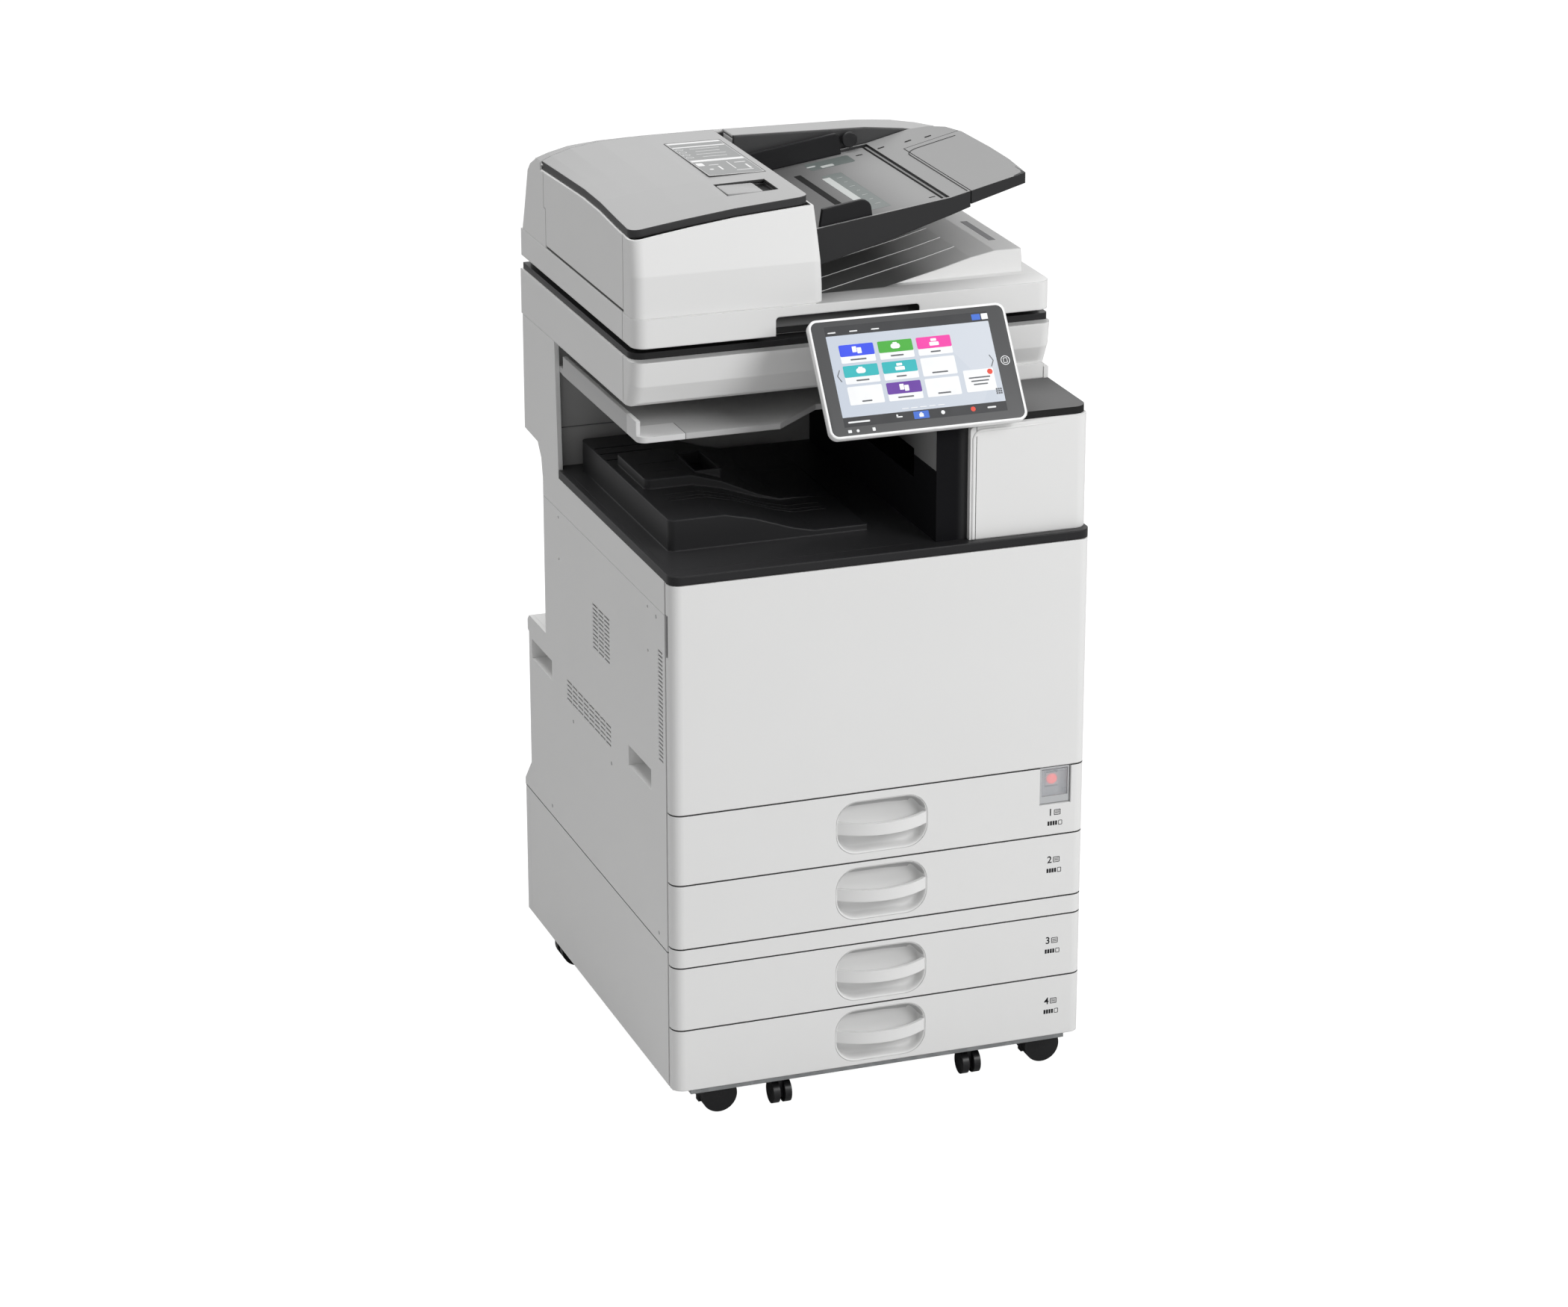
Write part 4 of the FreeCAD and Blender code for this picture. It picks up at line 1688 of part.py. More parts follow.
def caster_wheels(x, y, trail):
    discs = []
    for side in (-1, 1):
        inner = f"{y} + {side} * (fork_width / 2 + running_gap)"
        outer = f"{y} + {side} * (fork_width / 2 + running_gap + wheel_width)"
        span = (back(inner), back(outer)) if side > 0 else (back(outer), back(inner))
        centre = (f"{x} {trail} caster_trail", "wheel_radius")
        disc = rod("y", centre, "wheel_radius", span)
        bore = rod("y", centre, "axle_radius + shaft_play", (f"{span[0]} - 1", f"{span[1]} + 1"))
        discs.append(cut(disc, bore))
    return group(*discs)


for corner, place in CORNERS.items():
    piece(f"caster_fork_{corner}", caster_fork(*place))
    piece(f"caster_wheels_{corner}", caster_wheels(*place))

SMALL_PLACES = ("-small_left_x", "small_right_x")


def small_forks():
    forks = []
    for x in SMALL_PLACES:
        y = (back("small_caster_y - 5.5"), back("small_caster_y + 12"))
        web = box((f"{x} - small_fork / 2", f"{x} + small_fork / 2"), y, ("small_radius / 2", FLOOR_PAN))
        foot = box((f"{x} - 13", f"{x} + 13"), y, (f"{FLOOR_PAN} - small_fork", FLOOR_PAN))
        reach = "(small_fork / 2 + running_gap + small_width)"
        axle = rod("x", (back("small_caster_y"), "small_radius"), "axle_radius", (f"{x} - {reach}", f"{x} + {reach}"))
        forks.append(join(web, foot, axle))
    return group(*forks)


def small_wheels():
    discs = []
    centre = (back("small_caster_y"), "small_radius")
    for x in SMALL_PLACES:
        for side in (-1, 1):
            near = f"{x} + {side} * (small_fork / 2 + running_gap)"
            far = f"{x} + {side} * (small_fork / 2 + running_gap + small_width)"
            span = (near, far) if side > 0 else (far, near)
            disc = rod("x", centre, "small_radius", span)
            discs.append(cut(disc, rod("x", centre, "axle_radius + shaft_play", (f"{span[0]} - 1", f"{span[1]} + 1"))))
    return group(*discs)


piece("small_caster_forks", small_forks())
piece("small_caster_wheels", small_wheels())

doc.recompute()
faults = [item.Name for item in doc.Objects if "Invalid" in item.State or "Error" in item.State]
for item in PIECES:
    if item.Shape.isNull() or not item.Shape.isValid():
        faults.append(item.Label)
if faults:
    raise RuntimeError(f"failed objects: {faults}")
os.makedirs("parts", exist_ok=True)
for item in PIECES:
    item.Shape.exportStep(f"parts/{item.Label}.step")
    edges = item.Shape.BoundBox
    print(f"{item.Label:28s} solids {len(item.Shape.Solids)} volume {item.Shape.Volume / 1000:9.1f} cm3  "
          f"x {edges.XMin:7.1f} {edges.XMax:7.1f}  y {edges.YMin:7.1f} {edges.YMax:7.1f}  z {edges.ZMin:7.1f} {edges.ZMax:7.1f}")
print(len(PIECES), "pieces")
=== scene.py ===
import math

import bmesh
import bpy
from mathutils import Matrix, Vector


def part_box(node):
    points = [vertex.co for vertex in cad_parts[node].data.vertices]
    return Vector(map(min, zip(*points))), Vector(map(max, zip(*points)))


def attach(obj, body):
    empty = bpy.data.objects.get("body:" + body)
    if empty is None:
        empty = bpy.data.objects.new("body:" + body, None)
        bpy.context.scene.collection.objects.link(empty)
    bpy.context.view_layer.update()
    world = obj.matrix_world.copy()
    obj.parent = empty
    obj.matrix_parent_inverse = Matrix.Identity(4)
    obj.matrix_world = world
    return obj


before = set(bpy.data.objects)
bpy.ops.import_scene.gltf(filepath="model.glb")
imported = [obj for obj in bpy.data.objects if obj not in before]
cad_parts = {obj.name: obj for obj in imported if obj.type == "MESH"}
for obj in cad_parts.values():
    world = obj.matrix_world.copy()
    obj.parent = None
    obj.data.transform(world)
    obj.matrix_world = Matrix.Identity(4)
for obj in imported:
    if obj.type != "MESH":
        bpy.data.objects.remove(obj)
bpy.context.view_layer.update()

# Stage: a pale floor under the casters, a soft key light from the front right, a weaker one from above, and the camera.
# The floor and the world show as plain white to the camera, and the floor keeps a faint shadow.


class Value:
    """A shader socket that takes part in sums: each operator adds its own Math node."""

    def __init__(self, finish, socket):
        self.finish, self.socket = finish, socket

    def math(self, operation, *others, clamp=False):
        sockets = dict(enumerate((self, *others)))
        return self.finish.node("Math", {"operation": operation, "use_clamp": clamp}, sockets)

    def __add__(self, other):
        return self.math("ADD", other)

    __radd__ = __add__

    def __sub__(self, other):
        return self.math("SUBTRACT", other)

    def __rsub__(self, other):
        return self.finish.node("Math", {"operation": "SUBTRACT"}, {0: other, 1: self})

    def __mul__(self, other):
        return self.math("MULTIPLY", other)

    __rmul__ = __mul__

    def __truediv__(self, other):
        return self.math("DIVIDE", other)

    def __gt__(self, other):
        return self.math("GREATER_THAN", other)

    def __lt__(self, other):
        return self.math("LESS_THAN", other)

    def __abs__(self):
        return self.math("ABSOLUTE")


class Finish:
    """A material with one shader. Its node method adds any other node and returns the outlet as a Value."""

    def __init__(self, name, shader="BsdfPrincipled", **constants):
        self.material = bpy.data.materials.new(name)
        self.material.use_nodes = True
        self.tree = self.material.node_tree
        self.tree.nodes.clear()
        self.shader = self.tree.nodes.new("ShaderNode" + shader)
        self.surface = self.tree.nodes.new("ShaderNodeOutputMaterial")
        self.tree.links.new(self.shader.outputs[0], self.surface.inputs["Surface"])
        self.set(**constants)

    def set(self, **sockets):
        """Give the shader's sockets their values or links, Base_Color standing for Base Color."""
        for name, given in sockets.items():
            self.feed(self.shader.inputs[name.replace("_", " ")], given)

    def feed(self, socket, given):
        if isinstance(given, Value):
            self.tree.links.new(given.socket, socket)
        elif isinstance(given, (tuple, list)) and len(given) == 3 and len(socket.default_value) == 4:
            socket.default_value = (*given, 1.0)
        else:
            socket.default_value = given

    def node(self, kind, settings=None, sockets=None, out=0):
        node = self.tree.nodes.new("ShaderNode" + kind)
        for name, given in (settings or {}).items():
            if name == "stops":
                ramp = node.color_ramp
                while len(ramp.elements) < len(given):
                    ramp.elements.new(1.0)
                for element, (place, color) in zip(ramp.elements, given):
                    element.position, element.color = place, (*color, 1.0)
            else:
                setattr(node, name, given)
        for name, given in (sockets or {}).items():
            self.feed(node.inputs[name], given)
        return Value(self, node.outputs[out])

    def mix(self, share, first, second):
        """Blend two colours, the second by its share."""
        return self.node("Mix", {"data_type": "RGBA"}, {0: share, 6: first, 7: second}, out=2)


STAGE_WHITE = (1.0, 1.0, 1.0)
FLOOR_GREY = (0.65, 0.65, 0.65)
SHADOW_SHARE = 0.3
GLOW = 1.42
WORLD_LIGHT = 0.36


def stage_finish():
    floor = Finish("stage_floor", "BsdfDiffuse", Color=FLOOR_GREY)
    glow = floor.tree.nodes.new("ShaderNodeEmission")
    glow.inputs["Strength"].default_value = GLOW
    mixer = floor.tree.nodes.new("ShaderNodeMixShader")
    seen = floor.node("LightPath", out=0)
    floor.feed(mixer.inputs[0], seen * (1 - SHADOW_SHARE))
    floor.tree.links.new(floor.shader.outputs[0], mixer.inputs[1])
    floor.tree.links.new(glow.outputs[0], mixer.inputs[2])
    floor.tree.links.new(mixer.outputs[0], floor.surface.inputs["Surface"])
    return floor.material


floor_mesh = bpy.data.meshes.new("floor")
reach = 12.0
corners = [(-reach, -reach, 0), (reach, -reach, 0), (reach, reach, 0), (-reach, reach, 0)]
floor_mesh.from_pydata(corners, [], [(0, 1, 2, 3)])
floor_mesh.materials.append(stage_finish())
floor = bpy.data.objects.new("floor", floor_mesh)
bpy.context.collection.objects.link(floor)

world = bpy.data.worlds.new("studio")
world.use_nodes = True
bpy.context.scene.world = world
sky = world.node_tree
background = sky.nodes["Background"]
paths = sky.nodes.new("ShaderNodeLightPath")
shown = [sky.nodes.new("ShaderNodeMath") for _ in range(2)]
for adder in shown:
    adder.operation = "MAXIMUM"
sky.links.new(paths.outputs["Is Camera Ray"], shown[0].inputs[0])
sky.links.new(paths.outputs["Is Glossy Ray"], shown[0].inputs[1])
sky.links.new(shown[0].outputs[0], shown[1].inputs[0])
sky.links.new(paths.outputs["Is Transmission Ray"], shown[1].inputs[1])
level = sky.nodes.new("ShaderNodeMapRange")
level.inputs["To Min"].default_value = WORLD_LIGHT
level.inputs["To Max"].default_value = 1.0
sky.links.new(shown[1].outputs[0], level.inputs["Value"])
sky.links.new(level.outputs[0], background.inputs["Strength"])
background.inputs["Color"].default_value = (*STAGE_WHITE, 1.0)


def lamp(name, place, target, size, power):
    light = bpy.data.lights.new(name, "AREA")
    light.shape, light.size, light.energy = "DISK", size, power
    item = bpy.data.objects.new(name, light)
    item.location = place
    item.rotation_euler = (Vector(target) - Vector(place)).to_track_quat("-Z", "Y").to_euler()
    bpy.context.collection.objects.link(item)


lamp("key", (2.6, -4.2, 3.4), (0.0, -0.2, 0.6), 2.6, 172.0)
lamp("top", (-0.6, 0.4, 4.6), (0.0, 0.0, 0.8), 2.4, 90.0)

camera_data = bpy.data.cameras.new("camera")
camera_data.lens, camera_data.sensor_width = 105.98, 36.0
camera = bpy.data.objects.new("camera", camera_data)
camera.location = (-2.0539, -5.6279, 2.7162)
camera.rotation_euler = (math.radians(69.948), 0.0, math.radians(-19.863))
bpy.context.collection.objects.link(camera)
bpy.context.scene.camera = camera
bpy.context.scene.view_settings.view_transform = "Standard"

# Paper bank: a folded steel frame on a dark front rail, closed by moulded covers on the left, behind and on the
# right. The covers are white plastic with a fine sparked grain, and a thin dark seam shows over the front strip.

MM = 0.001
FRONT_DEPTH = 326.0
FRONT = -0.326


def grained(name, color, roughness=0.45, grain=0.10, specular=0.5, edge=0.8, speckle=0.03):
    """Moulded plastic: a fine grain in relief, a faint speckle of tone, a slow change of gloss, and soft edges."""
    finish = Finish(name, Specular_IOR_Level=specular)
    place = finish.node("TexCoord", out=3)
    fine = finish.node("TexNoise", None, {"Vector": place, "Scale": 1400.0, "Detail": 2.0})
    slow = finish.node("TexNoise", None, {"Vector": place, "Scale": 7.0, "Detail": 2.0})
    light = tuple(channel * (1 + speckle) for channel in color)
    dark = tuple(channel * (1 - speckle) for channel in color)
    tone = finish.mix(fine * 0.6 + slow * 0.4, dark, light)
    corner = finish.node("Bevel", {"samples": 4}, {"Radius": edge * MM})
    relief = finish.node("Bump", None, {"Strength": grain, "Distance": 0.0001, "Height": fine, "Normal": corner})
    finish.set(Base_Color=tone, Roughness=slow * 0.12 + (roughness - 0.06), Normal=relief)
    return finish


def coated_steel(name, color, roughness=0.4):
    """Zinc-coated sheet: large soft crystals in two near tones, with a dull metal shine."""
    finish = Finish(name, Metallic=0.85, Specular_IOR_Level=0.4)
    place = finish.node("TexCoord", out=3)
    flakes = finish.node("TexVoronoi", None, {"Vector": place, "Scale": 110.0}, out=1)
    shade = finish.node("SeparateColor", None, {0: flakes})
    dark = tuple(channel * 0.82 for channel in color)
    corner = finish.node("Bevel", {"samples": 4}, {"Radius": 0.6 * MM})
    finish.set(Base_Color=finish.mix(shade, dark, color), Roughness=shade * 0.15 + roughness, Normal=corner)
    return finish


def dress(finish, *nodes):
    """Give the carried-over solids their finish."""
    for name in nodes:
        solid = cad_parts[name]
        solid.data.materials.clear()
        solid.data.materials.append(finish.material)


def places(finish):
    """The three coordinates of a surface point: across, back from the front covers and up, in millimetres."""
    split = {out: finish.node("SeparateXYZ", None, {0: finish.node("TexCoord", out=3)}, out=out) for out in range(3)}
    return split[0] * 1000.0, split[1] * 1000.0 + FRONT_DEPTH, split[2] * 1000.0


def retone(finish, share, color):
    """Blend another colour over the finish's own, by a share."""
    under = finish.shader.inputs["Base Color"].links[0].from_socket
    finish.set(Base_Color=finish.mix(share, Value(finish, under), color))


SEAM_DARK = (0.03, 0.03, 0.03)


def seam_line(finish, value, *spots, half=0.8):
    """Darken a fine line across a finish at each spot along one coordinate, where two covers meet."""
    for spot in spots:
        retone(finish, abs(value - spot) < half, SEAM_DARK)


WHITE = (0.80, 0.80, 0.795)
white_plastic = grained("white_plastic", WHITE)
dress(white_plastic, "bank_left_cover", "bank_rear_cover", "bank_door")
strip_white = grained("strip_white", WHITE)
seam_line(strip_white, places(strip_white)[2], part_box("bank_front_strip")[1].z / MM)
dress(strip_white, "bank_front_strip")
dress(coated_steel("bank_steel", (0.30, 0.31, 0.315)), "bank_frame")


# Swivel casters: a black disc on each side of a hooded fork, with a hub cap sunk in each disc. Two smaller fixed
# casters stand under the front rail.
EDGE_ANGLE = math.radians(35)


def finished(name, mesh, body, slot, *finishes):
    """Stand a mesh in the scene as a named piece with its finishes, on its body. Its slot is not used."""
    for finish in finishes:
        mesh.materials.append(finish.material)
    piece = bpy.data.objects.new(name, mesh)
    bpy.context.collection.objects.link(piece)
    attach(piece, body)
    return piece


def shaped(name, bm, body, slot, *finishes, soften=0.0, segments=2):
    """Round the sharp edges of a worked mesh, shade it smooth between them, and finish it as a piece."""
    bmesh.ops.remove_doubles(bm, verts=bm.verts, dist=0.002 * MM)
    bmesh.ops.recalc_face_normals(bm, faces=bm.faces)
    if soften:
        sharp = [edge for edge in bm.edges if len(edge.link_faces) == 2 and edge.calc_face_angle(0) > EDGE_ANGLE]
        bmesh.ops.bevel(bm, geom=sharp, offset=soften, segments=segments, profile=0.5, affect="EDGES",
                        clamp_overlap=True)
    for face in bm.faces:
        face.smooth = True
    for edge in bm.edges:
        edge.smooth = len(edge.link_faces) != 2 or edge.calc_face_angle(0) < EDGE_ANGLE
    mesh = bpy.data.meshes.new(name)
    bm.to_mesh(mesh)
    bm.free()
    return finished(name, mesh, body, slot, *finishes)


def skin_loops(bm, loops, closed=True, caps=(True, True)):
    """Join loops of equal length with quads, and close the first and last with a face."""
    rings = [[bm.verts.new(point) for point in loop] for loop in loops]
    count = len(rings[0])
    for near, far in zip(rings, rings[1:]):
        for index in range(count if closed else count - 1):
            after = (index + 1) % count
            bm.faces.new((near[index], near[after], far[after], far[index]))
    if caps[0]:
        bm.faces.new(reversed(rings[0]))
    if caps[1]:
        bm.faces.new(rings[-1])
    return rings


def turned(bm, axis_point, axis, profile, steps=32):
    """A turned body: (radius, distance along the axis) from one end to the other, closed at both ends."""
    axis = Vector(axis).normalized()
    side = axis.orthogonal().normalized()
    other = axis.cross(side)
    loops = []
    for radius, along in profile:
        centre = Vector(axis_point) + axis * along * MM
        loops.append([centre + (side * math.cos(turn) + other * math.sin(turn)) * radius * MM
                      for turn in (2 * math.pi * step / steps for step in range(steps))])
    skin_loops(bm, loops)


black_plastic = grained("black_plastic", (0.018, 0.018, 0.019), roughness=0.42, specular=0.25, speckle=0.12)
CORNERS = ("front_left", "front_right", "rear_left", "rear_right")
dress(black_plastic, "small_caster_forks", *[f"caster_fork_{corner}" for corner in CORNERS])
rolling_black = grained("rolling_black", (0.014, 0.014, 0.015), roughness=0.35, specular=0.3, speckle=0.15, edge=1.2)
dress(rolling_black, "small_caster_wheels", *[f"caster_wheels_{corner}" for corner in CORNERS])

WHEEL_RADIUS = 25.0
for corner in CORNERS:
    low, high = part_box(f"caster_wheels_{corner}")
    middle = (low + high) / 2
    bm = bmesh.new()
    for way, face in ((-1, low.y), (1, high.y)):
        centre = Vector((middle.x, face - way * 0.25 * MM, WHEEL_RADIUS * MM))
        turned(bm, centre, (0, way, 0), [(15.5, -0.6), (15.5, 0.10), (14.9, 0.24), (14.2, 0.10), (13.4, 0.06),
                                         (5.2, 0.10), (4.6, 0.24), (0.4, 0.24)], 40)
    shaped(f"caster_caps_{corner}", bm, f"caster_wheels_{corner}", "black_wheel", rolling_black)


# Drawers: four moulded fronts with a bowed grip bar across a rounded hollow, each screwed to a grey paper pan that
# runs on two steel ledges. The hollow is lined by a smooth bowl, and a numeral with a level mark is printed beside it.


def facing(finish, axis):
    """How far a surface faces along one of its own axes, from -1 to 1, whatever the pose."""
    return finish.node("SeparateXYZ", None, {0: finish.node("TexCoord", out=1)}, out=axis)


def fade(finish, value, start, end):
    """A share that falls smoothly from one to nothing between two places."""
    return finish.node("MapRange", {"interpolation_type": "SMOOTHSTEP"},
                       {"Value": value, "From Min": start, "From Max": end, "To Min": 1.0, "To Max": 0.0})


def at(x, d, z):
    """A place in metres from millimetres: across, back from the front covers, and up from the floor."""
    return Vector((x * MM, FRONT + d * MM, z * MM))


class Place:
    """A working plane: an origin with a direction to the right, one up and one out of the surface."""

    def __init__(self, origin, right, up):
        self.origin, self.right, self.up = Vector(origin), Vector(right).normalized(), Vector(up).normalized()
        self.out = self.right.cross(self.up)

    def point(self, u, v, w=0.0):
        return self.origin + (self.right * u + self.up * v + self.out * w) * MM


ON_FRONT = Place(at(0, 0, 0), (1, 0, 0), (0, 0, 1))


def oblong(width, height, radius, steps=5, centre=(0.0, 0.0)):
    """A rounded rectangle's outline, turning to the left from its right side."""
    points = []
    for turn, (sx, sy) in enumerate(((1, 1), (-1, 1), (-1, -1), (1, -1))):
        for step in range(steps + 1):
            angle = math.radians(90) * (turn + step / steps)
            points.append((centre[0] + sx * (width / 2 - radius) + radius * math.cos(angle),
                           centre[1] + sy * (height / 2 - radius) + radius * math.sin(angle)))
    return points


def plate(bm, place, outline, low, high):
    """A flat plate: an outline on a working plane, from one height over it to another."""
    skin_loops(bm, [[place.point(u, v, w) for u, v in outline] for w in (low, high)])


TRAYS = (1, 2, 3, 4)
drawer_white = grained("drawer_white", WHITE, edge=1.8)
# Painted shade: the fine dark line at each drawer front's top edge is contact shade under the part above.
seam_line(drawer_white, places(drawer_white)[2], *[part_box(f"tray_{number}_front")[1].z / MM for number in TRAYS])
bowl_white = grained("bowl_white", WHITE, edge=1.8)
# Painted shade: the bowl darkens deeper in the hollow and on its downward faces.
d = places(bowl_white)[1]
retone(bowl_white, fade(bowl_white, d, 16.5, 5.0) * 0.2, (0.42, 0.42, 0.42))
retone(bowl_white, facing(bowl_white, 2) < -0.25, (0.50, 0.50, 0.50))
pan_grey = grained("pan_grey", (0.33, 0.33, 0.34))
dress(drawer_white, *[f"tray_{number}_front" for number in TRAYS])
dress(pan_grey, *[f"tray_{number}_pan" for number in TRAYS])
dress(coated_steel("runner_steel", (0.45, 0.46, 0.46)), "drawer_runners")

# Each step of the bowl: how far it stands in from the hollow's outline, and how deep it lies.
BOWL = ((0.4, -0.05), (1.5, -0.7), (2.4, -2.2), (3.0, -6.0), (3.7, -11.0), (5.0, -14.2), (7.4, -15.8))
BOWL_WIDTH, BOWL_HEIGHT, BOWL_CORNER, BOWL_DEPTH = 129.6, 74.6, 30.0, 16.9
MARK_HEIGHTS = {1: 383.0, 2: 314.0, 3: 195.0, 4: 105.0}
ink = grained("printed_ink", (0.012, 0.012, 0.014), roughness=0.5, specular=0.2, speckle=0.1)


def bowl(bm, place, centre, width, height, radius, depth, steps):
    """A bowl with an upright outside that lines a pocket; steps go from its rim down to its floor."""
    loops = []
    for inset, level in ((0.0, -depth), (0.0, steps[0][1]), *steps):
        corner = max(radius - inset, 3.0)
        ring = oblong(width - 2 * inset, height - 2 * inset, corner, 8, centre)
        loops.append([place.point(u, v, level) for u, v in ring])
    skin_loops(bm, loops)


def numeral(bm, text, place, u, v, height, thickness=0.05):
    """A printed numeral, centred on a place of the working plane."""
    curve = bpy.data.curves.new("numeral", "FONT")
    curve.body, curve.size, curve.extrude, curve.offset = text, height * 1.4, thickness / 2, 0.22
    curve.align_x, curve.align_y = "CENTER", "CENTER"
    holder = bpy.data.objects.new("numeral", curve)
    mesh = bpy.data.meshes.new_from_object(holder)
    turn = Matrix((place.right, place.up, place.out)).transposed().to_4x4()
    mesh.transform(Matrix.Translation(place.point(u, v, thickness / 2)) @ turn @ Matrix.Scale(MM, 4))
    bm.from_mesh(mesh)
    bpy.data.meshes.remove(mesh)
    bpy.data.objects.remove(holder)
    bpy.data.curves.remove(curve)


def page_mark(bm, place, u, v, width, height, line=0.5, lift=0.05):
    """An outlined page: four thin bars round an empty middle."""
    for bar_u, bar_v, bar_width, bar_height in (
            (0, height / 2, width, line), (0, -height / 2, width, line),
            (-width / 2, 0, line, height), (width / 2, 0, line, height)):
        plate(bm, place, oblong(bar_width, bar_height, line * 0.2, 1, (u + bar_u, v + bar_v)), 0.0, lift)


for number in TRAYS:
    low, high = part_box(f"tray_{number}_front")
    level = (low.z + high.z) / 2 / MM
    bm = bmesh.new()
    bowl(bm, ON_FRONT, (0, level - 0.6), BOWL_WIDTH, BOWL_HEIGHT, BOWL_CORNER, BOWL_DEPTH, BOWL)
    shaped(f"tray_{number}_bowl", bm, f"drawer_{number}", "white_cover", bowl_white)

    mark = MARK_HEIGHTS[number]
    bm = bmesh.new()
    numeral(bm, str(number), ON_FRONT, 243.0, mark, 10.0)
    page_mark(bm, ON_FRONT, 253.0, mark, 8.6, 7.2, 1.0)
    for row in (-1.5, 0.0, 1.5):
        plate(bm, ON_FRONT, oblong(6.4, 0.7, 0.1, 1, (253.0, mark + row)), 0.0, 0.05)
    for step in range(4):
        plate(bm, ON_FRONT, oblong(2.9, 6.2, 0.4, 2, (240.5 + 3.7 * step, mark - 15.5)), 0.0, 0.05)
    page_mark(bm, ON_FRONT, 257.5, mark - 15.5, 5.0, 6.0, 0.9)
    shaped(f"tray_{number}_marks", bm, f"drawer_{number}", "black_plastic", ink)

# Main switch: a lit red button on a rocker, in a grey moulded well. A frosted plastic flap, hinged along its top edge,
# covers the well.
well_grey = grained("well_grey", (0.50, 0.51, 0.52))
dress(well_grey, "switch_box")
dress(grained("rocker_grey", (0.62, 0.62, 0.63)), "power_switch")
red_lens = Finish("red_lens", Specular_IOR_Level=0.6, Emission_Strength=0.9)
heart = red_lens.node("LayerWeight", None, {"Blend": 0.4}, out=1)
red_lens.set(Base_Color=red_lens.mix(heart, (0.85, 0.05, 0.04), (0.55, 0.02, 0.02)), Roughness=0.2,
             Emission_Color=(0.9, 0.08, 0.06))
low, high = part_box("power_switch")
middle = (low + high) / 2
bm = bmesh.new()
turned(bm, Vector((middle.x, low.y, middle.z)), (0, -1, 0),
       [(7.2, -4.0), (7.2, 0.4), (6.6, 1.0), (5.0, 1.5), (2.5, 1.8), (0.3, 1.9)], 36)
shaped("switch_button", bm, "power_switch", "red_switch", red_lens)

frosted = Finish("frosted_flap", Specular_IOR_Level=0.45, Alpha=0.34)
cloud = frosted.node("TexNoise", None, {"Vector": frosted.node("TexCoord", out=3), "Scale": 60.0})
frosted.set(Base_Color=frosted.mix(cloud, (0.62, 0.65, 0.68), (0.74, 0.77, 0.80)), Roughness=cloud * 0.2 + 0.15)
dress(frosted, "switch_flap")

# Engine frame and covers: a steel frame under large thin mouldings. The left cover has louvres and two hand grips,
# the rear one steps out over the power supply. Screws lie flush in the side covers, each a grey head in a dark ring.

dress(coated_steel("frame_steel", (0.42, 0.43, 0.44)), "main_frame")
cover_white = grained("cover_white", WHITE, edge=1.2)
seam_line(cover_white, places(cover_white)[2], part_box("left_cover")[0].z / MM)
dress(cover_white, "left_cover", "left_upper_cover", "right_cover", "rear_cover")

LEFT_SCREWS = ((431.8, 429.0), (259.3, 430.3), (540.0, 262.0), (60.0, 262.0), (60.0, 708.0))
RIGHT_SCREWS = ((52.0, 262.0), (52.0, 700.0), (560.0, 262.0), (520.0, 700.0), (500.0, 940.0))
x, d, z = places(cover_white)
for side, spots in ((x < 0.0, LEFT_SCREWS), (x > 0.0, RIGHT_SCREWS)):
    for screw_d, screw_z in spots:
        across, up = d - screw_d, z - screw_z
        spread = across * across + up * up
        retone(cover_white, side * (spread < 6.8), (0.16, 0.16, 0.16))
        retone(cover_white, side * (spread < 3.2), (0.42, 0.42, 0.43))

REAR_STEP = 640.0
ON_REAR = Place(at(0, REAR_STEP, 0), (-1, 0, 0), (0, 0, 1))
screw_steel = Finish("screw_steel", Metallic=0.9, Base_Color=(0.35, 0.36, 0.37))
screw_steel.set(Roughness=screw_steel.node("TexNoise", None, {"Scale": 900.0}) * 0.3 + 0.25)
socket_black = grained("socket_black", (0.03, 0.03, 0.03), roughness=0.4, speckle=0.1)
dress(socket_black, "power_inlet")
low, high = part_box("power_inlet")
middle = (low + high) / 2
pin_place = Place(Vector((middle.x, high.y, middle.z)), (-1, 0, 0), (0, 0, 1))
bm = bmesh.new()
for across, up in ((-5.5, -2.5), (5.5, -2.5), (0.0, 3.0)):
    plate(bm, pin_place, oblong(2.0, 5.0, 0.9, 3, (across, up)), -18.5, -3.0)
shaped("inlet_pins", bm, "machine", "steel", screw_steel, soften=0.0003)

# Front door: one tall white moulding hinged on the right; painted shade darkens its foot, at the seam over the top
# drawer. A dark finger scoop in its left edge opens it.
door_white = grained("door_white", WHITE, edge=2.2)
d, z = places(door_white)[1:]
# Painted shade: the door's foot is darkened where it meets the top drawer.
retone(door_white, (d < 14.0) * (z < 449.9), SEAM_DARK)
dress(door_white, "front_door")
scoop_grey = grained("scoop_grey", (0.13, 0.13, 0.135), roughness=0.5)
bm = bmesh.new()
ON_SCOOP = Place(at(-287.6, 16.6, 694.5), (0, -1, 0), (0, 0, 1))
bowl(bm, ON_SCOOP, (0, 0), 6.6, 58.6, 1.2, 0.6, ((0.5, 4.6), (1.0, 4.0), (1.6, 2.0), (2.2, 0.6)))
shaped("door_scoop", bm, "front_door", "grey_liner", scoop_grey)

# Exit tray: a black moulding over the whole engine, its rim drawn out to the covers. Two wavy steps carry the sheets,
# with thin ridges that keep them from sticking, and a fine raised line runs along inside the rim.

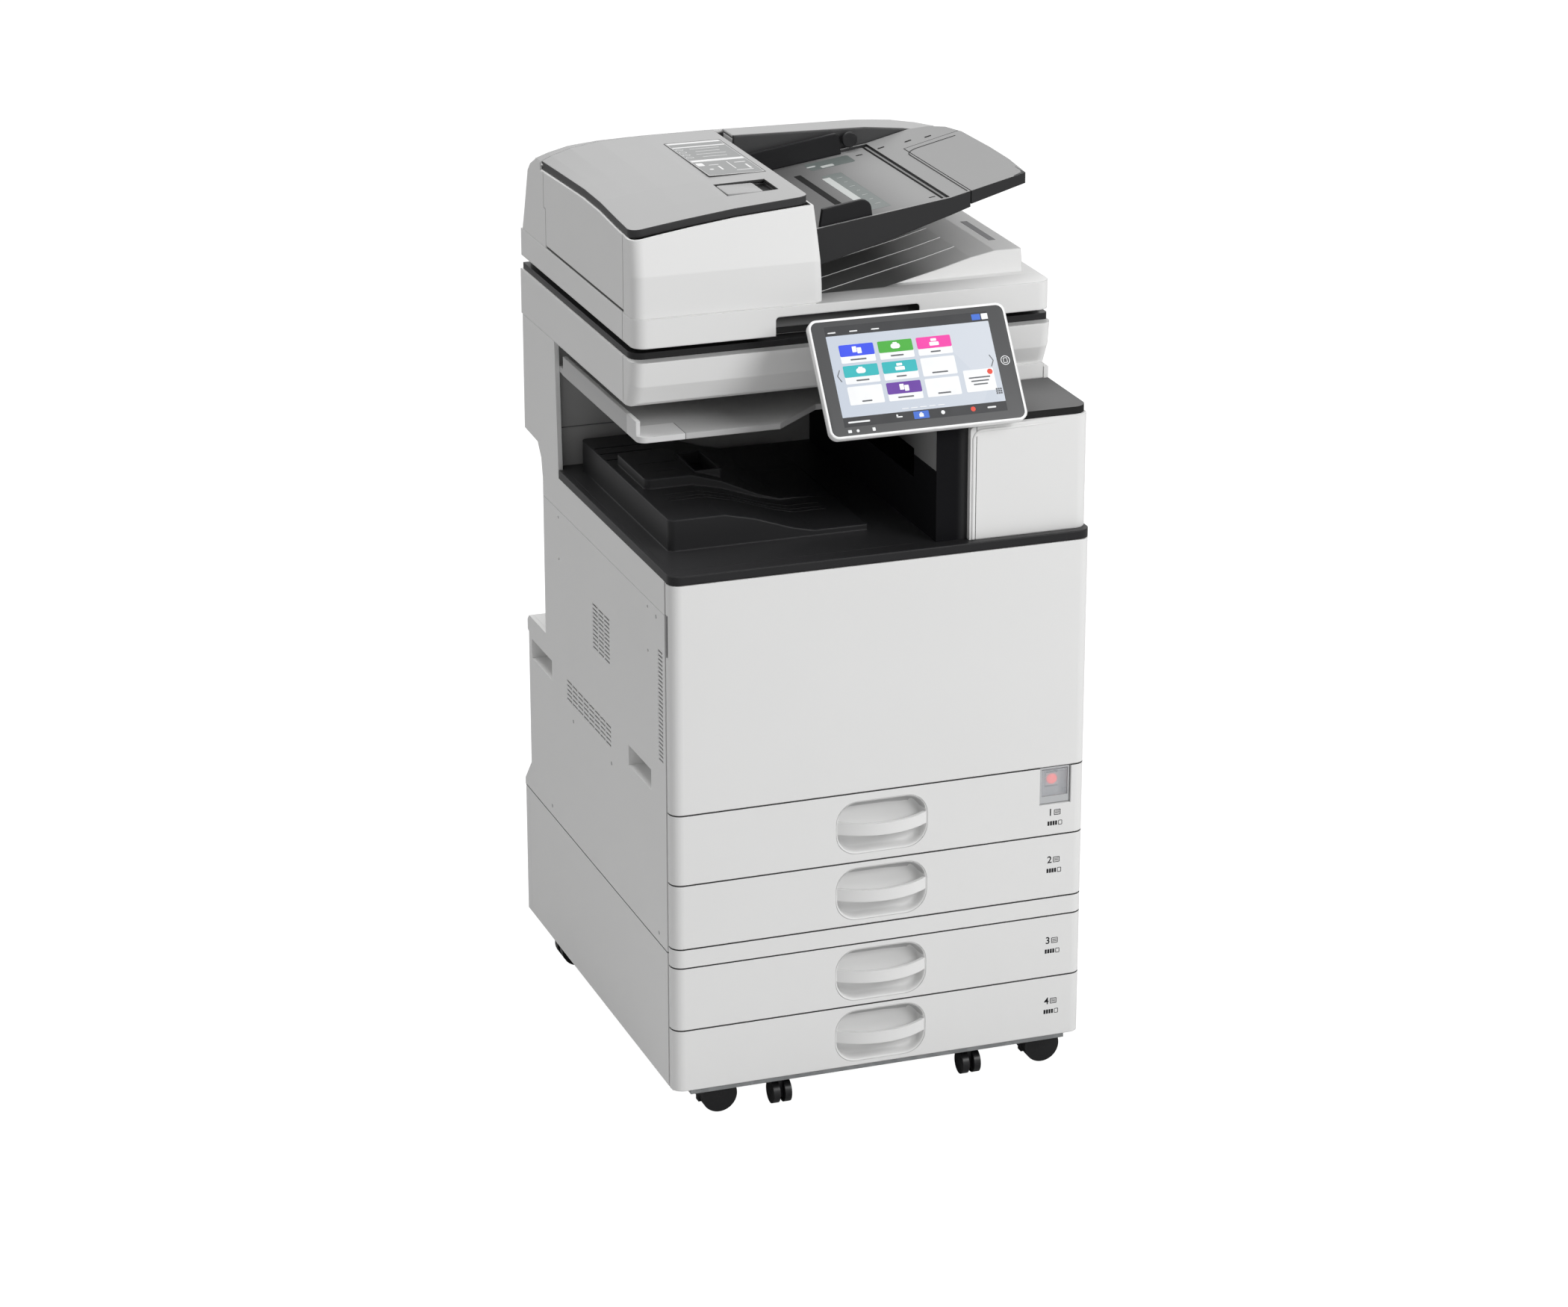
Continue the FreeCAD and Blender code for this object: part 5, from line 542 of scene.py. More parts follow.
RIM_TOP = 780.0
tray_black = grained("tray_black", (0.010, 0.010, 0.011), roughness=0.42, specular=0.3, speckle=0.15, edge=3.0)
x, d, z = places(tray_black)
# Painted light: the rim's upper face is a touch lighter than the rest of the black.
rim = (z > RIM_TOP - 1.0) * (z < RIM_TOP + 1.0) * (facing(tray_black, 2) > 0.5)
retone(tray_black, rim, (0.015, 0.015, 0.016))
# Painted shade: the tray's floor on the right, back from its front, is darker under the overhang of the cavity.
retone(tray_black, (z < RIM_TOP - 5.0) * (x > 0.0) * (d > 40.0), (0.005, 0.005, 0.005))
dress(tray_black, "exit_tray")
WAVE = ((0, 1.0), (77, 1.0), (118, 0.78), (170, 0.36), (201, 0.19), (250, 0.19))


def ridge(bm, path, side, up, width, height, sink=0.4):
    """A thin raised line along a path: flat-topped, half as wide at its top, its foot a little sunk."""
    side, up = Vector(side).normalized(), Vector(up).normalized()
    rings = []
    for point in path:
        corners = ((-0.5, -sink), (0.5, -sink), (0.25, height), (-0.25, height))
        rings.append([Vector(point) + (side * across * width + up * rise) * MM for across, rise in corners])
    skin_loops(bm, rings)


def wave_level(x, rise):
    """Height of a step of the tray at a place across it."""
    run = x + 262.0
    for (near, high), (far, low) in zip(WAVE, WAVE[1:]):
        if run <= far:
            return RIM_TOP + rise * (high + (low - high) * (run - near) / (far - near))
    return RIM_TOP + rise * WAVE[-1][1]


bm = bmesh.new()
for start, d in ((-232, 206), (-232, 190), (-232, 178)):
    path = [at(x, d, wave_level(x, 43.0)) for x in range(start, -14, 6)]
    ridge(bm, path, (0, 1, 0), (0, 0, 1), 1.6, 0.5)
for d, start, end in ((300, -236, -178), (264, -232, -178)):
    path = [at(x, d, wave_level(x, 57.0)) for x in range(start, end, 6)]
    ridge(bm, path, (0, 1, 0), (0, 0, 1), 1.2, 0.35)
shaped("tray_ridges", bm, "machine", "black_plastic", tray_black)

bm = bmesh.new()
for path in ([at(-284, 60 + 40 * step, RIM_TOP) for step in range(11)],
             [at(-284 + 33.6 * step, 26, RIM_TOP) for step in range(11)]):
    along = path[1] - path[0]
    ridge(bm, path, along.cross(Vector((0, 0, 1))), (0, 0, 1), 1.3, 0.25)
shaped("tray_rim_lines", bm, "machine", "black_plastic", tray_black)

# Exit cavity: a grey moulded back wall with one seam across it, and the pale one-bin tray that hangs under the scanner.
# The tray's front left corner is lighter, and a fine dark line parts it off.
liner_grey = grained("liner_grey", (0.36, 0.36, 0.36), roughness=0.55)
dress(liner_grey, "cavity_liner")

bin_grey = grained("bin_grey", (0.50, 0.50, 0.50), roughness=0.5, edge=2.0)
x, d = places(bin_grey)[:2]
CORNER_X, CORNER_D = -224.0, 190.0
retone(bin_grey, (x < CORNER_X) * (d < CORNER_D), (0.70, 0.70, 0.70))
retone(bin_grey, (abs(x - CORNER_X) < 0.5) * (d < CORNER_D), (0.10, 0.10, 0.10))
dress(bin_grey, "one_bin_tray")

bm = bmesh.new()
ridge(bm, [at(-285.0 + 36 * step, 499.6, 835.0) for step in range(11)], (0, 0, 1), (0, -1, 0), 1.6, 0.3)
shaped("liner_seam", bm, "machine", "grey_liner", scoop_grey)

# Tower: a black inner frame with its cap, and a white front cover whose left and top edges stand up as a round bead.
# The frame's finish is painted paler on the wall inside the cavity, as light that fades into shade deeper in.
tower_black = grained("tower_black", (0.006, 0.006, 0.007), roughness=0.6, specular=0.06, speckle=0.1)
CAP_FOOT = 935.0
x, d, z = places(tower_black)
retone(tower_black, z > CAP_FOOT + 0.2, (0.02, 0.02, 0.02))
# Painted light: the cap's upward faces are painted a lighter grey.
retone(tower_black, (z > CAP_FOOT + 0.2) * (facing(tower_black, 2) > 0.5), (0.15, 0.15, 0.15))
# Painted light and shade: the wall inside the cavity is paler near the opening and fades darker deeper in.
lit_inner_wall = (x < 86.0) * (z > 877.0) * (z < CAP_FOOT) * (d > 21.0) * fade(tower_black, d, 20.0, 190.0)
retone(tower_black, lit_inner_wall, (0.26, 0.26, 0.26))
retone(tower_black, (z < CAP_FOOT) * (d < 40.0) * fade(tower_black, x, 121.0, 108.0), (0.035, 0.035, 0.036))
dress(tower_black, "tower_frame")
low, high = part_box("tower_cover")
tower_white = grained("tower_white", WHITE, edge=2.5)
seam_line(tower_white, places(tower_white)[0], low.x / MM + 8.6, half=0.5)
dress(tower_white, "tower_cover")
BEAD = 2.4
bm = bmesh.new()
left, top, face = low.x / MM + 5.0, high.z / MM - 6.0, 12.0
path = [at(left, face, low.z / MM + 1.0 + step * (top - 12 - low.z / MM) / 8) for step in range(9)]
for step in range(1, 7):
    angle = math.radians(15 * step)
    path.append(at(left + 12 * (1 - math.cos(angle)), face, top - 11 + 12 * math.sin(angle) - 1))
path += [at(left + 12 + 14 * step, face, top) for step in range(1, 9)]
rings = []
for index, point in enumerate(path):
    along = (path[min(index + 1, len(path) - 1)] - path[max(index - 1, 0)]).normalized()
    side = along.cross(Vector((0, -1, 0)))
    size = BEAD * min(1.0, (len(path) - 1 - index) / 8 + 0.1)
    rings.append([point + (side * math.cos(turn) * size + Vector((0, -1, 0)) * (math.sin(turn) * size * 0.8 - 0.3)) * MM
                  for turn in (math.pi * step / 8 - 0.2 for step in range(9))])
skin_loops(bm, rings)
shaped("tower_bead", bm, "machine", "white_cover", cover_white)

# Scanner: a white tub whose front leans back, closed by a black band that frames the platen glass and the narrow
# glass of the feeder. The carriage with its lamp runs on two ribs below the glass.

dress(grained("scanner_white", WHITE, edge=3.0), "scanner_housing")
band_black = grained("band_black", (0.014, 0.014, 0.015), roughness=0.38, specular=0.3, speckle=0.1, edge=1.5)
dress(band_black, "scanner_band", "panel_bracket")
glass = Finish("platen_glass", Transmission_Weight=0.92, IOR=1.45, Alpha=1.0)
smudge = glass.node("TexNoise", None, {"Vector": glass.node("TexCoord", out=3), "Scale": 9.0})
glass.set(Base_Color=glass.mix(smudge, (0.78, 0.86, 0.83), (0.84, 0.90, 0.88)), Roughness=smudge * 0.04 + 0.01)
dress(glass, "platen_glass")
carriage_grey = grained("carriage_grey", (0.10, 0.10, 0.11), roughness=0.4)
dress(carriage_grey, "scan_carriage")
low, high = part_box("scan_carriage")
lamp_tube = Finish("lamp_tube", Emission_Strength=0.15, Emission_Color=(0.9, 1.0, 0.95))
frost = lamp_tube.node("TexNoise", None, {"Vector": lamp_tube.node("TexCoord", out=3), "Scale": 200.0})
lamp_tube.set(Base_Color=lamp_tube.mix(frost, (0.80, 0.84, 0.82), (0.9, 0.93, 0.92)), Roughness=frost * 0.1 + 0.2)
bm = bmesh.new()
turned(bm, Vector(((low.x + high.x) / 2, low.y + 0.02, high.z - 0.3 * MM)), (0, 1, 0),
       [(1.2, 0.0), (1.2, 6.0), (2.2, 6.5), (2.2, 303.5), (1.2, 304.0), (1.2, 310.0)], 16)
shaped("carriage_lamp", bm, "scan_carriage", "clear_glass", lamp_tube)

# Document feeder: a white base that carries the exit slope, a tall white housing on its left with a grey hood behind,
# a crowned grey top cover with a black rim, and a foam-backed white sheet that presses originals on the glass.
SLOPE_SHADOW = (0.15, 0.15, 0.15)
EXIT_FRONT, HOOD_FRONT = 183.0, 499.0
BASE_TOP, COVER_TOP = 1084.0, 1224.0
feeder_white = grained("feeder_white", WHITE, edge=3.0)
x, d, z = places(feeder_white)
# Painted shadow of the document table: the base's upward faces darken towards the left, first on the front ledge.
upward = (facing(feeder_white, 2) > 0.5) * (x > -44.0)
retone(feeder_white, upward * (d < EXIT_FRONT) * fade(feeder_white, x, 40.0, 330.0), (0.40, 0.40, 0.40))
# Painted shadow of the document table on the exit slope and on the platform's left part.
retone(feeder_white, upward * (d > EXIT_FRONT) * fade(feeder_white, x, -10.0, 150.0), SLOPE_SHADOW)
retone(feeder_white, upward * (d > 195.2) * (x < 262.0) * fade(feeder_white, x, 90.0, 200.0), SLOPE_SHADOW)
# Painted shade in the notch under the base's front: dark at its top under the overhang, lighter towards its foot.
in_notch = (abs(x) < 100.3) * (d > 137.6) * (d < 176.3) * (z < 1071.3)
notch_shade = feeder_white.mix(fade(feeder_white, z, 1045.0, 1062.0), (0.03, 0.03, 0.03), (0.22, 0.22, 0.22))
retone(feeder_white, in_notch, notch_shade)
# Painted shade: the undercut faces under the base's foot are darkened to near black.
retone(feeder_white, (z < 1045.6) * (z > 1036.3), (0.012, 0.012, 0.012))
dress(feeder_white, "feeder_base")
foam_white = grained("foam_white", (0.84, 0.84, 0.82), roughness=0.65, grain=0.2)
dress(foam_white, "feeder_cushion")

EXIT_SHADE = (0.035, 0.035, 0.036)
COVER_GREY = (0.36, 0.36, 0.36)
housing = grained("housing_white", WHITE, edge=3.0)
x, d, z = places(housing)
behind = 1 - (1 - (d > 542.8)) * (1 - (d > HOOD_FRONT) * (x > -32.0))
crown = facing(housing, 2) > 0.3
retone(housing, behind * crown * (z > 1120.0), COVER_GREY)
# Painted shade: a strip along the hood's front, over the exit slope, is darkened.
retone(housing, (d > HOOD_FRONT) * (d < HOOD_FRONT + 6.0) * (x > -45.0) * (z > BASE_TOP), EXIT_SHADE)
# Painted shade: the housing's right side, between it and the document table, is darkened to near black.
retone(housing, (x > -47.0) * (x < -20.0) * (d > 160.0) * (d < 540.0) * (facing(housing, 0) > 0.5), EXIT_SHADE)
# Painted shade: the groove under the housing's left side is darkened to black.
retone(housing, (x < -285.0) * (d > 181.0) * (d < 521.0) * (z < 1088.3), (0.006, 0.006, 0.006))
dress(housing, "feeder_housing")

cover_grey = grained("cover_grey", COVER_GREY, roughness=0.42, edge=2.0)
x, d = places(cover_grey)[:2]
retone(cover_grey, facing(cover_grey, 2) < 0.35, (0.015, 0.015, 0.016))
# Painted shade: the recess round the lever is darkened to near black.
in_recess = (x > -142.5) * (x < -71.5) * (d > 205.5) * (d < 262.5)
retone(cover_grey, in_recess, (0.03, 0.03, 0.03))
dress(cover_grey, "feeder_top_cover")

lever_grey = grained("lever_grey", COVER_GREY, roughness=0.42, edge=1.5)
bm = bmesh.new()
ON_COVER = Place(at(0, 0, COVER_TOP), (1, 0, 0), (0, 1, 0))
plate(bm, ON_COVER, oblong(50, 46, 3, 4, (-115.5, 234)), -9.8, -2.6)
shaped("cover_lever", bm, "feeder_top_cover", "grey_cover", lever_grey, soften=0.0012)

# The exit slope carries three fine ridges that lift the sheets off it, in a near-white plastic that stands pale
# against the slope's painted shadow. Its flat end carries a dark slot.
ridge_pale = grained("ridge_pale", (0.72, 0.72, 0.72), roughness=0.4)
EXIT_RISE = ((-26.0, -25.94), (89.0, 0.0), (150.0, 13.76), (195.0, 25.6), (203.0, 27.4))
bm = bmesh.new()
for d in (254.0, 305.0, 356.0):
    path = []
    for (near, low_rise), (far, high_rise) in zip(EXIT_RISE, EXIT_RISE[1:]):
        steps = max(1, round((far - near) / 12))
        path += [at(near + (far - near) * step / steps, d, BASE_TOP + low_rise + (high_rise - low_rise) * step / steps)
                 for step in range(steps)]
    ridge(bm, path, (0, 1, 0), (0, 0, 1), 1.5, 0.7)
shaped("exit_ridges", bm, "feeder", "white_cover", ridge_pale)
bm = bmesh.new()
plate(bm, Place(at(247, 298, 1116.0), (1, 0, 0), (0, 1, 0)), oblong(10, 104, 1.0, 2), -0.2, 0.06)
shaped("exit_slot", bm, "feeder", "black_plastic", carriage_grey)

# The label on the cover has its place kept: a smooth dark plate with a pale line round it and rows of plain bars and
# ovals, printed shapes that hold no words.
label_grey = grained("label_grey", (0.20, 0.205, 0.205), roughness=0.3, grain=0.02)
label_pale = grained("label_pale", (0.74, 0.74, 0.74), roughness=0.35, grain=0.02)
SPREAD = Place(at(0, 0, 1224.06), (1, 0, 0), (0, 1, 0))
LABEL_X, LABEL_D, LABEL_WIDTH, LABEL_LENGTH = -96.0, 392.0, 80.0, 190.0


def label_bars(name, finish, bars, high):
    """Flat marks on the label: (across, along, width, length, corner), measured from its middle."""
    bm = bmesh.new()
    for across, along, width, length, corner in bars:
        plate(bm, SPREAD, oblong(width, length, corner, 3, (LABEL_X + across, LABEL_D + along)), -0.1, high)
    shaped(name, bm, "feeder_top_cover", "grey_cover", finish)


label_bars("label_edge", socket_black, [(0, 0, LABEL_WIDTH, LABEL_LENGTH, 1.0)], 0.03)
label_bars("label_line", label_pale, [(0, 0, LABEL_WIDTH - 3.0, LABEL_LENGTH - 5.0, 0.8)], 0.06)
label_bars("label_plate", label_grey, [(0, 0, LABEL_WIDTH - 4.6, LABEL_LENGTH - 8.0, 0.6)], 0.09)
bars = [(0, along, LABEL_WIDTH - 6.0, length, 0.5) for along, length in ((88, 8), (66, 5), (-12, 10))]
bars += [(-31, 54 - 15 * row, 11, 8, 3.9) for row in range(4)]
bars += [(4, 54 - 15 * row, 42 - 7 * (row % 2), 1.6, 0.7) for row in range(4)]
bars += [(-31, -32, 10, 16, 2.0), (-24, -60, 6, 6, 2.9), (8, -46, 1.6, 40, 0.7), (-14, -38, 14, 2.4, 1.1),
         (-10, -56, 3, 20, 1.4), (24, -34, 16, 3, 1.4), (28, -58, 3, 24, 1.4), (18, -74, 24, 2.4, 1.1)]
label_bars("label_marks", label_pale, bars, 0.12)
label_bars("label_ovals", label_grey, [(-31, 54 - 15 * row, 9, 5.6, 2.7) for row in range(4)], 0.15)

# Document table: a hollow black ramp with a grey top, hinged under the feeder. Two black guides slide on it towards
# each other, and its outer panel pulls out. A sheet-size scale with plain ticks lies in its surface.
TABLE_GREY = (0.28, 0.28, 0.28)
APRON = (0.018, 0.018, 0.019)
table_grey = grained("table_grey", TABLE_GREY, roughness=0.42, specular=0.3, edge=1.5)
x, d = places(table_grey)[:2]
retone(table_grey, facing(table_grey, 2) < 0.6, APRON)
# Painted shadow: the table's top darkens towards its left, behind its front part.
retone(table_grey, (d > 190.0) * fade(table_grey, x, 20.0, 150.0), (0.09, 0.09, 0.09))
dress(table_grey, "document_table", "table_extension")
guide_black = grained("guide_black", (0.010, 0.010, 0.011), roughness=0.42, specular=0.2, speckle=0.1, edge=2.5)
dress(guide_black, "front_guide", "rear_guide")
TABLE_LEFT, TABLE_FOLD = -37.0, 160.0
TABLE_FOOT, FOLD_HEIGHT = 1171.0, 1198.0
INNER_SLOPE, OUTER_SLOPE = 0.137056, 0.236607


def ramp(x, sunk=3.9):
    """Height of the table's surface at a place across it, its inner part lying below the rim."""
    if x < TABLE_FOLD:
        return TABLE_FOOT + INNER_SLOPE * (x - TABLE_LEFT) - sunk
    return FOLD_HEIGHT + OUTER_SLOPE * (x - TABLE_FOLD) + 0.02


def ramp_place(x, sunk=3.95):
    slope = INNER_SLOPE if x < TABLE_FOLD else OUTER_SLOPE
    return Place(at(x, 0, ramp(x, sunk)), (1, 0, slope), (0, 1, 0))


def on_ramp(bm, x, d, width, length, radius, steps=3, high=0.12):
    """A thin plate that lies on the table, centred at a place."""
    plate(bm, ramp_place(x), oblong(width, length, radius, steps, (0.0, d)), -0.1, high)


slot_black = grained("slot_black", (0.008, 0.008, 0.008), roughness=0.6, specular=0.08, speckle=0.1)
bm = bmesh.new()
on_ramp(bm, 37, 354, 10, 160, 1.0, high=0.18)
on_ramp(bm, 155, 345, 3.4, 296, 0.4, 1)
for slot_x, slot_d in ((138, 463), (168, 458), (204, 449), (230, 441)):
    on_ramp(bm, slot_x, slot_d, 10, 3.6, 1.7, high=0.2 if slot_x < TABLE_FOLD else 0.4)
on_ramp(bm, 146, 212, 9, 3.0, 1.0)
shaped("table_slots", bm, "document_table", "black_plastic", slot_black)

scale_green = grained("scale_green", (0.12, 0.14, 0.135), roughness=0.35, grain=0.02)
scale_pale = grained("scale_pale", (0.48, 0.50, 0.49), roughness=0.4, grain=0.02)
bm = bmesh.new()
on_ramp(bm, 76, 312, 28, 190, 1.0, high=0.10)
on_ramp(bm, 93, 458, 64, 36, 4.0, 4, high=0.10)
shaped("table_scale", bm, "document_table", "dark_table", scale_green)
bm = bmesh.new()
on_ramp(bm, 64, 333, 11, 124, 0.6, high=0.16)
for tick in range(7):
    on_ramp(bm, 80, 240 + 24 * tick, 8 - 3 * (tick % 2), 1.2, 0.3, 1, high=0.16)
on_ramp(bm, 66.5, 459, 13, 6, 2.9, 5, high=0.16)
on_ramp(bm, 86, 448, 18, 10, 1.0, high=0.16)
shaped("table_scale_marks", bm, "document_table", "dark_table", scale_pale)

# The outer panel is outlined by a fine dark gap with one rounded corner, and has a black bumper on its front corner.
# A flat black disc sits on the back of the rear guide.
outline_dark = grained("outline_dark", (0.05, 0.05, 0.05), roughness=0.6, specular=0.1)
bm = bmesh.new()
OUTER_UP = Vector((-0.2302, 0, 0.9731))
outline = [(184.6, 184 + 22 * step) for step in range(10)]
outline += [(184.6 + 18 * (1 - math.cos(turn)), 392 + 18 * math.sin(turn))
            for turn in (math.pi / 12 * step for step in range(7))]
outline += [(202.6 + 11 * step, 410 - 0.2 * step) for step in range(1, 6)]
path = [at(x, d, ramp(x)) for x, d in outline]
rings = []
for index, point in enumerate(path):
    along = (path[min(index + 1, len(path) - 1)] - path[max(index - 1, 0)]).normalized()
    side = along.cross(OUTER_UP)
    rings.append([point + side * across * MM + OUTER_UP * rise * MM
                  for across, rise in ((-0.8, -0.1), (0.8, -0.1), (0.8, 0.45), (-0.8, 0.45))])
skin_loops(bm, rings)
shaped("extension_outline", bm, "document_table", "black_plastic", outline_dark)

bm = bmesh.new()
turned(bm, at(134.0, 488.0, 1207.0), (0, 1, 0), [(10.0, 0.0), (11.0, 0.8), (11.0, 3.2), (10.0, 4.0)], 32)
shaped("rear_guide_disc", bm, "rear_guide", "black_plastic", band_black)

low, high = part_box("table_extension")
bm = bmesh.new()
bumper = [(0.0, 0.0), (-16.0, 0.0), (-16.0, 3.0), (-4.0, 6.5), (-1.2, 16.0), (-1.2, 34.0), (0.0, 34.0)]
right, front = high.x / MM - 6.4, 180.0
ring_low = [at(right + u, front + v + 0.3, ramp(right + u) - 13.0) for u, v in bumper]
ring_high = [at(right + u, front + v + 0.3, ramp(right + u) + 0.2) for u, v in bumper]
skin_loops(bm, [ring_low, ring_high])
shaped("extension_bumper", bm, "table_extension", "black_plastic", band_black, soften=0.0008)

# Operation panel: a flat tablet in a white rim, a dark grey bezel set into its face, and a touch screen. It tilts on a
# barrel that a black arm carries. The screen shows plain tiles, with no names and no signs of any maker.
rim_white = grained("rim_white", (0.92, 0.92, 0.92), roughness=0.22, edge=5.0)
dress(rim_white, "operation_panel")
TILT = math.radians(35.3)
PANEL = Place(at(57.7, 32.0, 1013.0), (1, 0, 0), (0, math.sin(TILT), math.cos(TILT)))
bezel_grey = grained("bezel_grey", (0.045, 0.046, 0.048), roughness=0.38, grain=0.05, specular=0.4, speckle=0.06,
                     edge=0.4)
BEZEL = ((267.0, 156.0, 9.5, -0.1), (267.0, 156.0, 9.5, 0.15), (266.2, 155.2, 9.2, 0.3), (265.0, 154.0, 8.8, 0.35))
bm = bmesh.new()
skin_loops(bm, [[PANEL.point(u, v, w) for u, v in oblong(width, height, radius, 8)]
                for width, height, radius, w in BEZEL])
shaped("panel_bezel", bm, "operation_panel", "panel_black", bezel_grey)

LCD_U, LCD_V, LCD_WIDTH, LCD_HEIGHT = -2.8, 2.0, 226.0, 111.0
LCD_HALF = LCD_HEIGHT / 2
BAR = 13.5
screen = Finish("screen_picture", Specular_IOR_Level=0.5, Emission_Strength=0.02, Coat_Weight=0.2)
position = screen.node("TexCoord", out=3)
offset = PANEL.point(LCD_U - LCD_WIDTH / 2, LCD_V - LCD_HALF)


def share_across(direction, span):
    """How far a point of the screen lies along a direction, from 0 at one edge to 1 at the other."""
    along = screen.node("VectorMath", {"operation": "DOT_PRODUCT"}, {0: position, 1: direction}, out=1)
    return along * (1 / (span * MM)) - offset.dot(direction) / (span * MM)


u, v = share_across(PANEL.right, LCD_WIDTH), share_across(PANEL.up, LCD_HEIGHT)
picture = screen.mix(u, (0.52, 0.57, 0.65), (0.57, 0.61, 0.67))
picture = screen.mix((u + v * 0.35 > 0.98) * 0.35, picture, (0.64, 0.67, 0.72))
picture = screen.mix((u - v * 0.3 > 0.86) * 0.3, picture, (0.49, 0.54, 0.62))
screen.set(Base_Color=picture, Emission_Color=picture, Roughness=abs(u - 0.5) * 0.04 + 0.12)
bm = bmesh.new()
plate(bm, PANEL, oblong(LCD_WIDTH, LCD_HEIGHT, 0.8, 2, (LCD_U, LCD_V)), 0.3, 0.42)
shaped("panel_screen", bm, "operation_panel", "panel_black", screen)


def glow(name, color, strength=0.04):
    """A lit patch of the screen, a faint haze making it barely darker in places."""
    finish = Finish(name, Specular_IOR_Level=0.4, Emission_Strength=strength)
    haze = finish.node("TexNoise", None, {"Vector": finish.node("TexCoord", out=3), "Scale": 40.0})
    dim = tuple(channel * 0.9 for channel in color)
    tone = finish.mix(haze, dim, color)
    finish.set(Base_Color=tone, Emission_Color=tone, Roughness=haze * 0.1 + 0.15)
    return finish


def tablets(name, finish, patches, lift=0.52):
    """Rounded patches on the screen: (u, v, width, height, corner)."""
    bm = bmesh.new()
    for patch_u, patch_v, width, height, corner in patches:
        plate(bm, PANEL, oblong(width, height, corner, 3, (LCD_U + patch_u, LCD_V + patch_v)), 0.3, lift)
    return shaped(name, bm, "operation_panel", "panel_black", finish)


card_white = glow("card_white", (0.86, 0.87, 0.88))
COLUMNS, ROWS, CARD = (-75.0, -21.5, 32.0), (29.5, 1.0, -27.5), (47.5, 25.0)
tablets("tile_cards", card_white, [(column, row, *CARD, 1.6) for column in COLUMNS for row in ROWS]
        + [(84.0, -24.0, 42.0, 30.0, 1.6)])
HEADS = {
    "tile_blue": ((0.05, 0.09, 0.80), [(0, 0)]),
    "tile_green": ((0.07, 0.40, 0.05), [(1, 0)]),
    "tile_pink": ((0.83, 0.06, 0.38), [(2, 0)]),
    "tile_teal": ((0.04, 0.45, 0.48), [(0, 1), (1, 1)]),
    "tile_violet": ((0.14, 0.05, 0.34), [(1, 2)]),
}
for name, (color, cells) in HEADS.items():
    tablets(name, glow(name, color), [(COLUMNS[column], ROWS[row] + 4.6, CARD[0], CARD[1] - 9.2, 1.6)
                                      for column, row in cells], 0.60)
tile_mark = glow("tile_mark", (0.90, 0.91, 0.92))
marks = []
for column, row in ((0, 0), (1, 0), (2, 0), (0, 1), (1, 1), (1, 2)):
    middle_u, middle_v = COLUMNS[column], ROWS[row] + 4.6
    shape = (column + row) % 3
    if shape == 0:
        marks += [(middle_u - 3, middle_v + 1, 6, 8, 0.8), (middle_u + 3.5, middle_v - 1, 6, 8, 0.8)]
    elif shape == 1:
        marks += [(middle_u, middle_v, 13, 7, 3.4), (middle_u, middle_v + 4.4, 6, 1.6, 0.7)]
    else:
        marks += [(middle_u, middle_v - 2.2, 13, 5, 1.0), (middle_u, middle_v + 3.2, 8, 3.6, 0.8)]
tablets("tile_marks", tile_mark, marks, 0.66)
tablets("screen_bars", glow("bar_dark", (0.040, 0.041, 0.044), 0.0),
        [(0, LCD_HALF + BAR / 2 - 0.4, LCD_WIDTH, BAR, 0.4), (0, -LCD_HALF - BAR / 2 + 0.4, LCD_WIDTH, BAR, 0.4)], 0.40)
tablets("home_key", glow("home_blue", (0.06, 0.16, 0.62)),
        [(-6, -LCD_HALF - 6.6, 21, 10, 0.8), (97, LCD_HALF + 6.6, 12, 8, 0.8)], 0.50)
caption = glow("caption_grey", (0.12, 0.125, 0.135))
captions = []
for column in range(3):
    for row in range(3):
        captions.append((COLUMNS[column], ROWS[row] - 8.2, 22 - 4 * ((column + row) % 3), 2.0, 0.9))
captions += [(84.0, -20.0 - 4.6 * line, 30 - 5 * line, 1.8, 0.8) for line in range(3)]
tablets("tile_captions", caption, captions, 0.62)
pale = glow("sign_pale", (0.85, 0.86, 0.87))
signs = [(-6, -LCD_HALF - 7.2, 6, 4.4, 0.5), (-6, -LCD_HALF - 4.4, 3.4, 2.2, 1.0),
         (-36, -LCD_HALF - 6.4, 8, 1.6, 0.7), (-39, -LCD_HALF - 4.9, 2.4, 4.2, 1.1),
         (24, -LCD_HALF - 6.4, 5.4, 5.4, 2.6), (109, LCD_HALF + 6.6, 9, 8, 0.8),
         (-92, -LCD_HALF - 7.0, 30, 2.2, 1.0), (92, -LCD_HALF - 6.4, 12, 2.2, 1.0)]
signs += [(-104 + 30 * tab, LCD_HALF + 4.4, 11, 1.6, 0.7) for tab in range(3)]
signs += [(-26 + 12.5 * dot, -LCD_HALF + 4.0, 9, 1.0, 0.4) for dot in range(5)]
signs += [(-107, -LCD_HALF - 19.0, 5, 4.0, 0.6), (-96, -LCD_HALF - 19.0, 4, 4, 1.9),
          (-74, -LCD_HALF - 19.0, 4, 4.6, 0.6)]
tablets("screen_signs", pale, signs, 0.62)
tablets("stop_light", glow("stop_red", (0.75, 0.08, 0.05)),
        [(66, -LCD_HALF - 6.4, 6.6, 6.6, 3.2), (100, -13.5, 7.6, 7.6, 3.7)], 0.64)

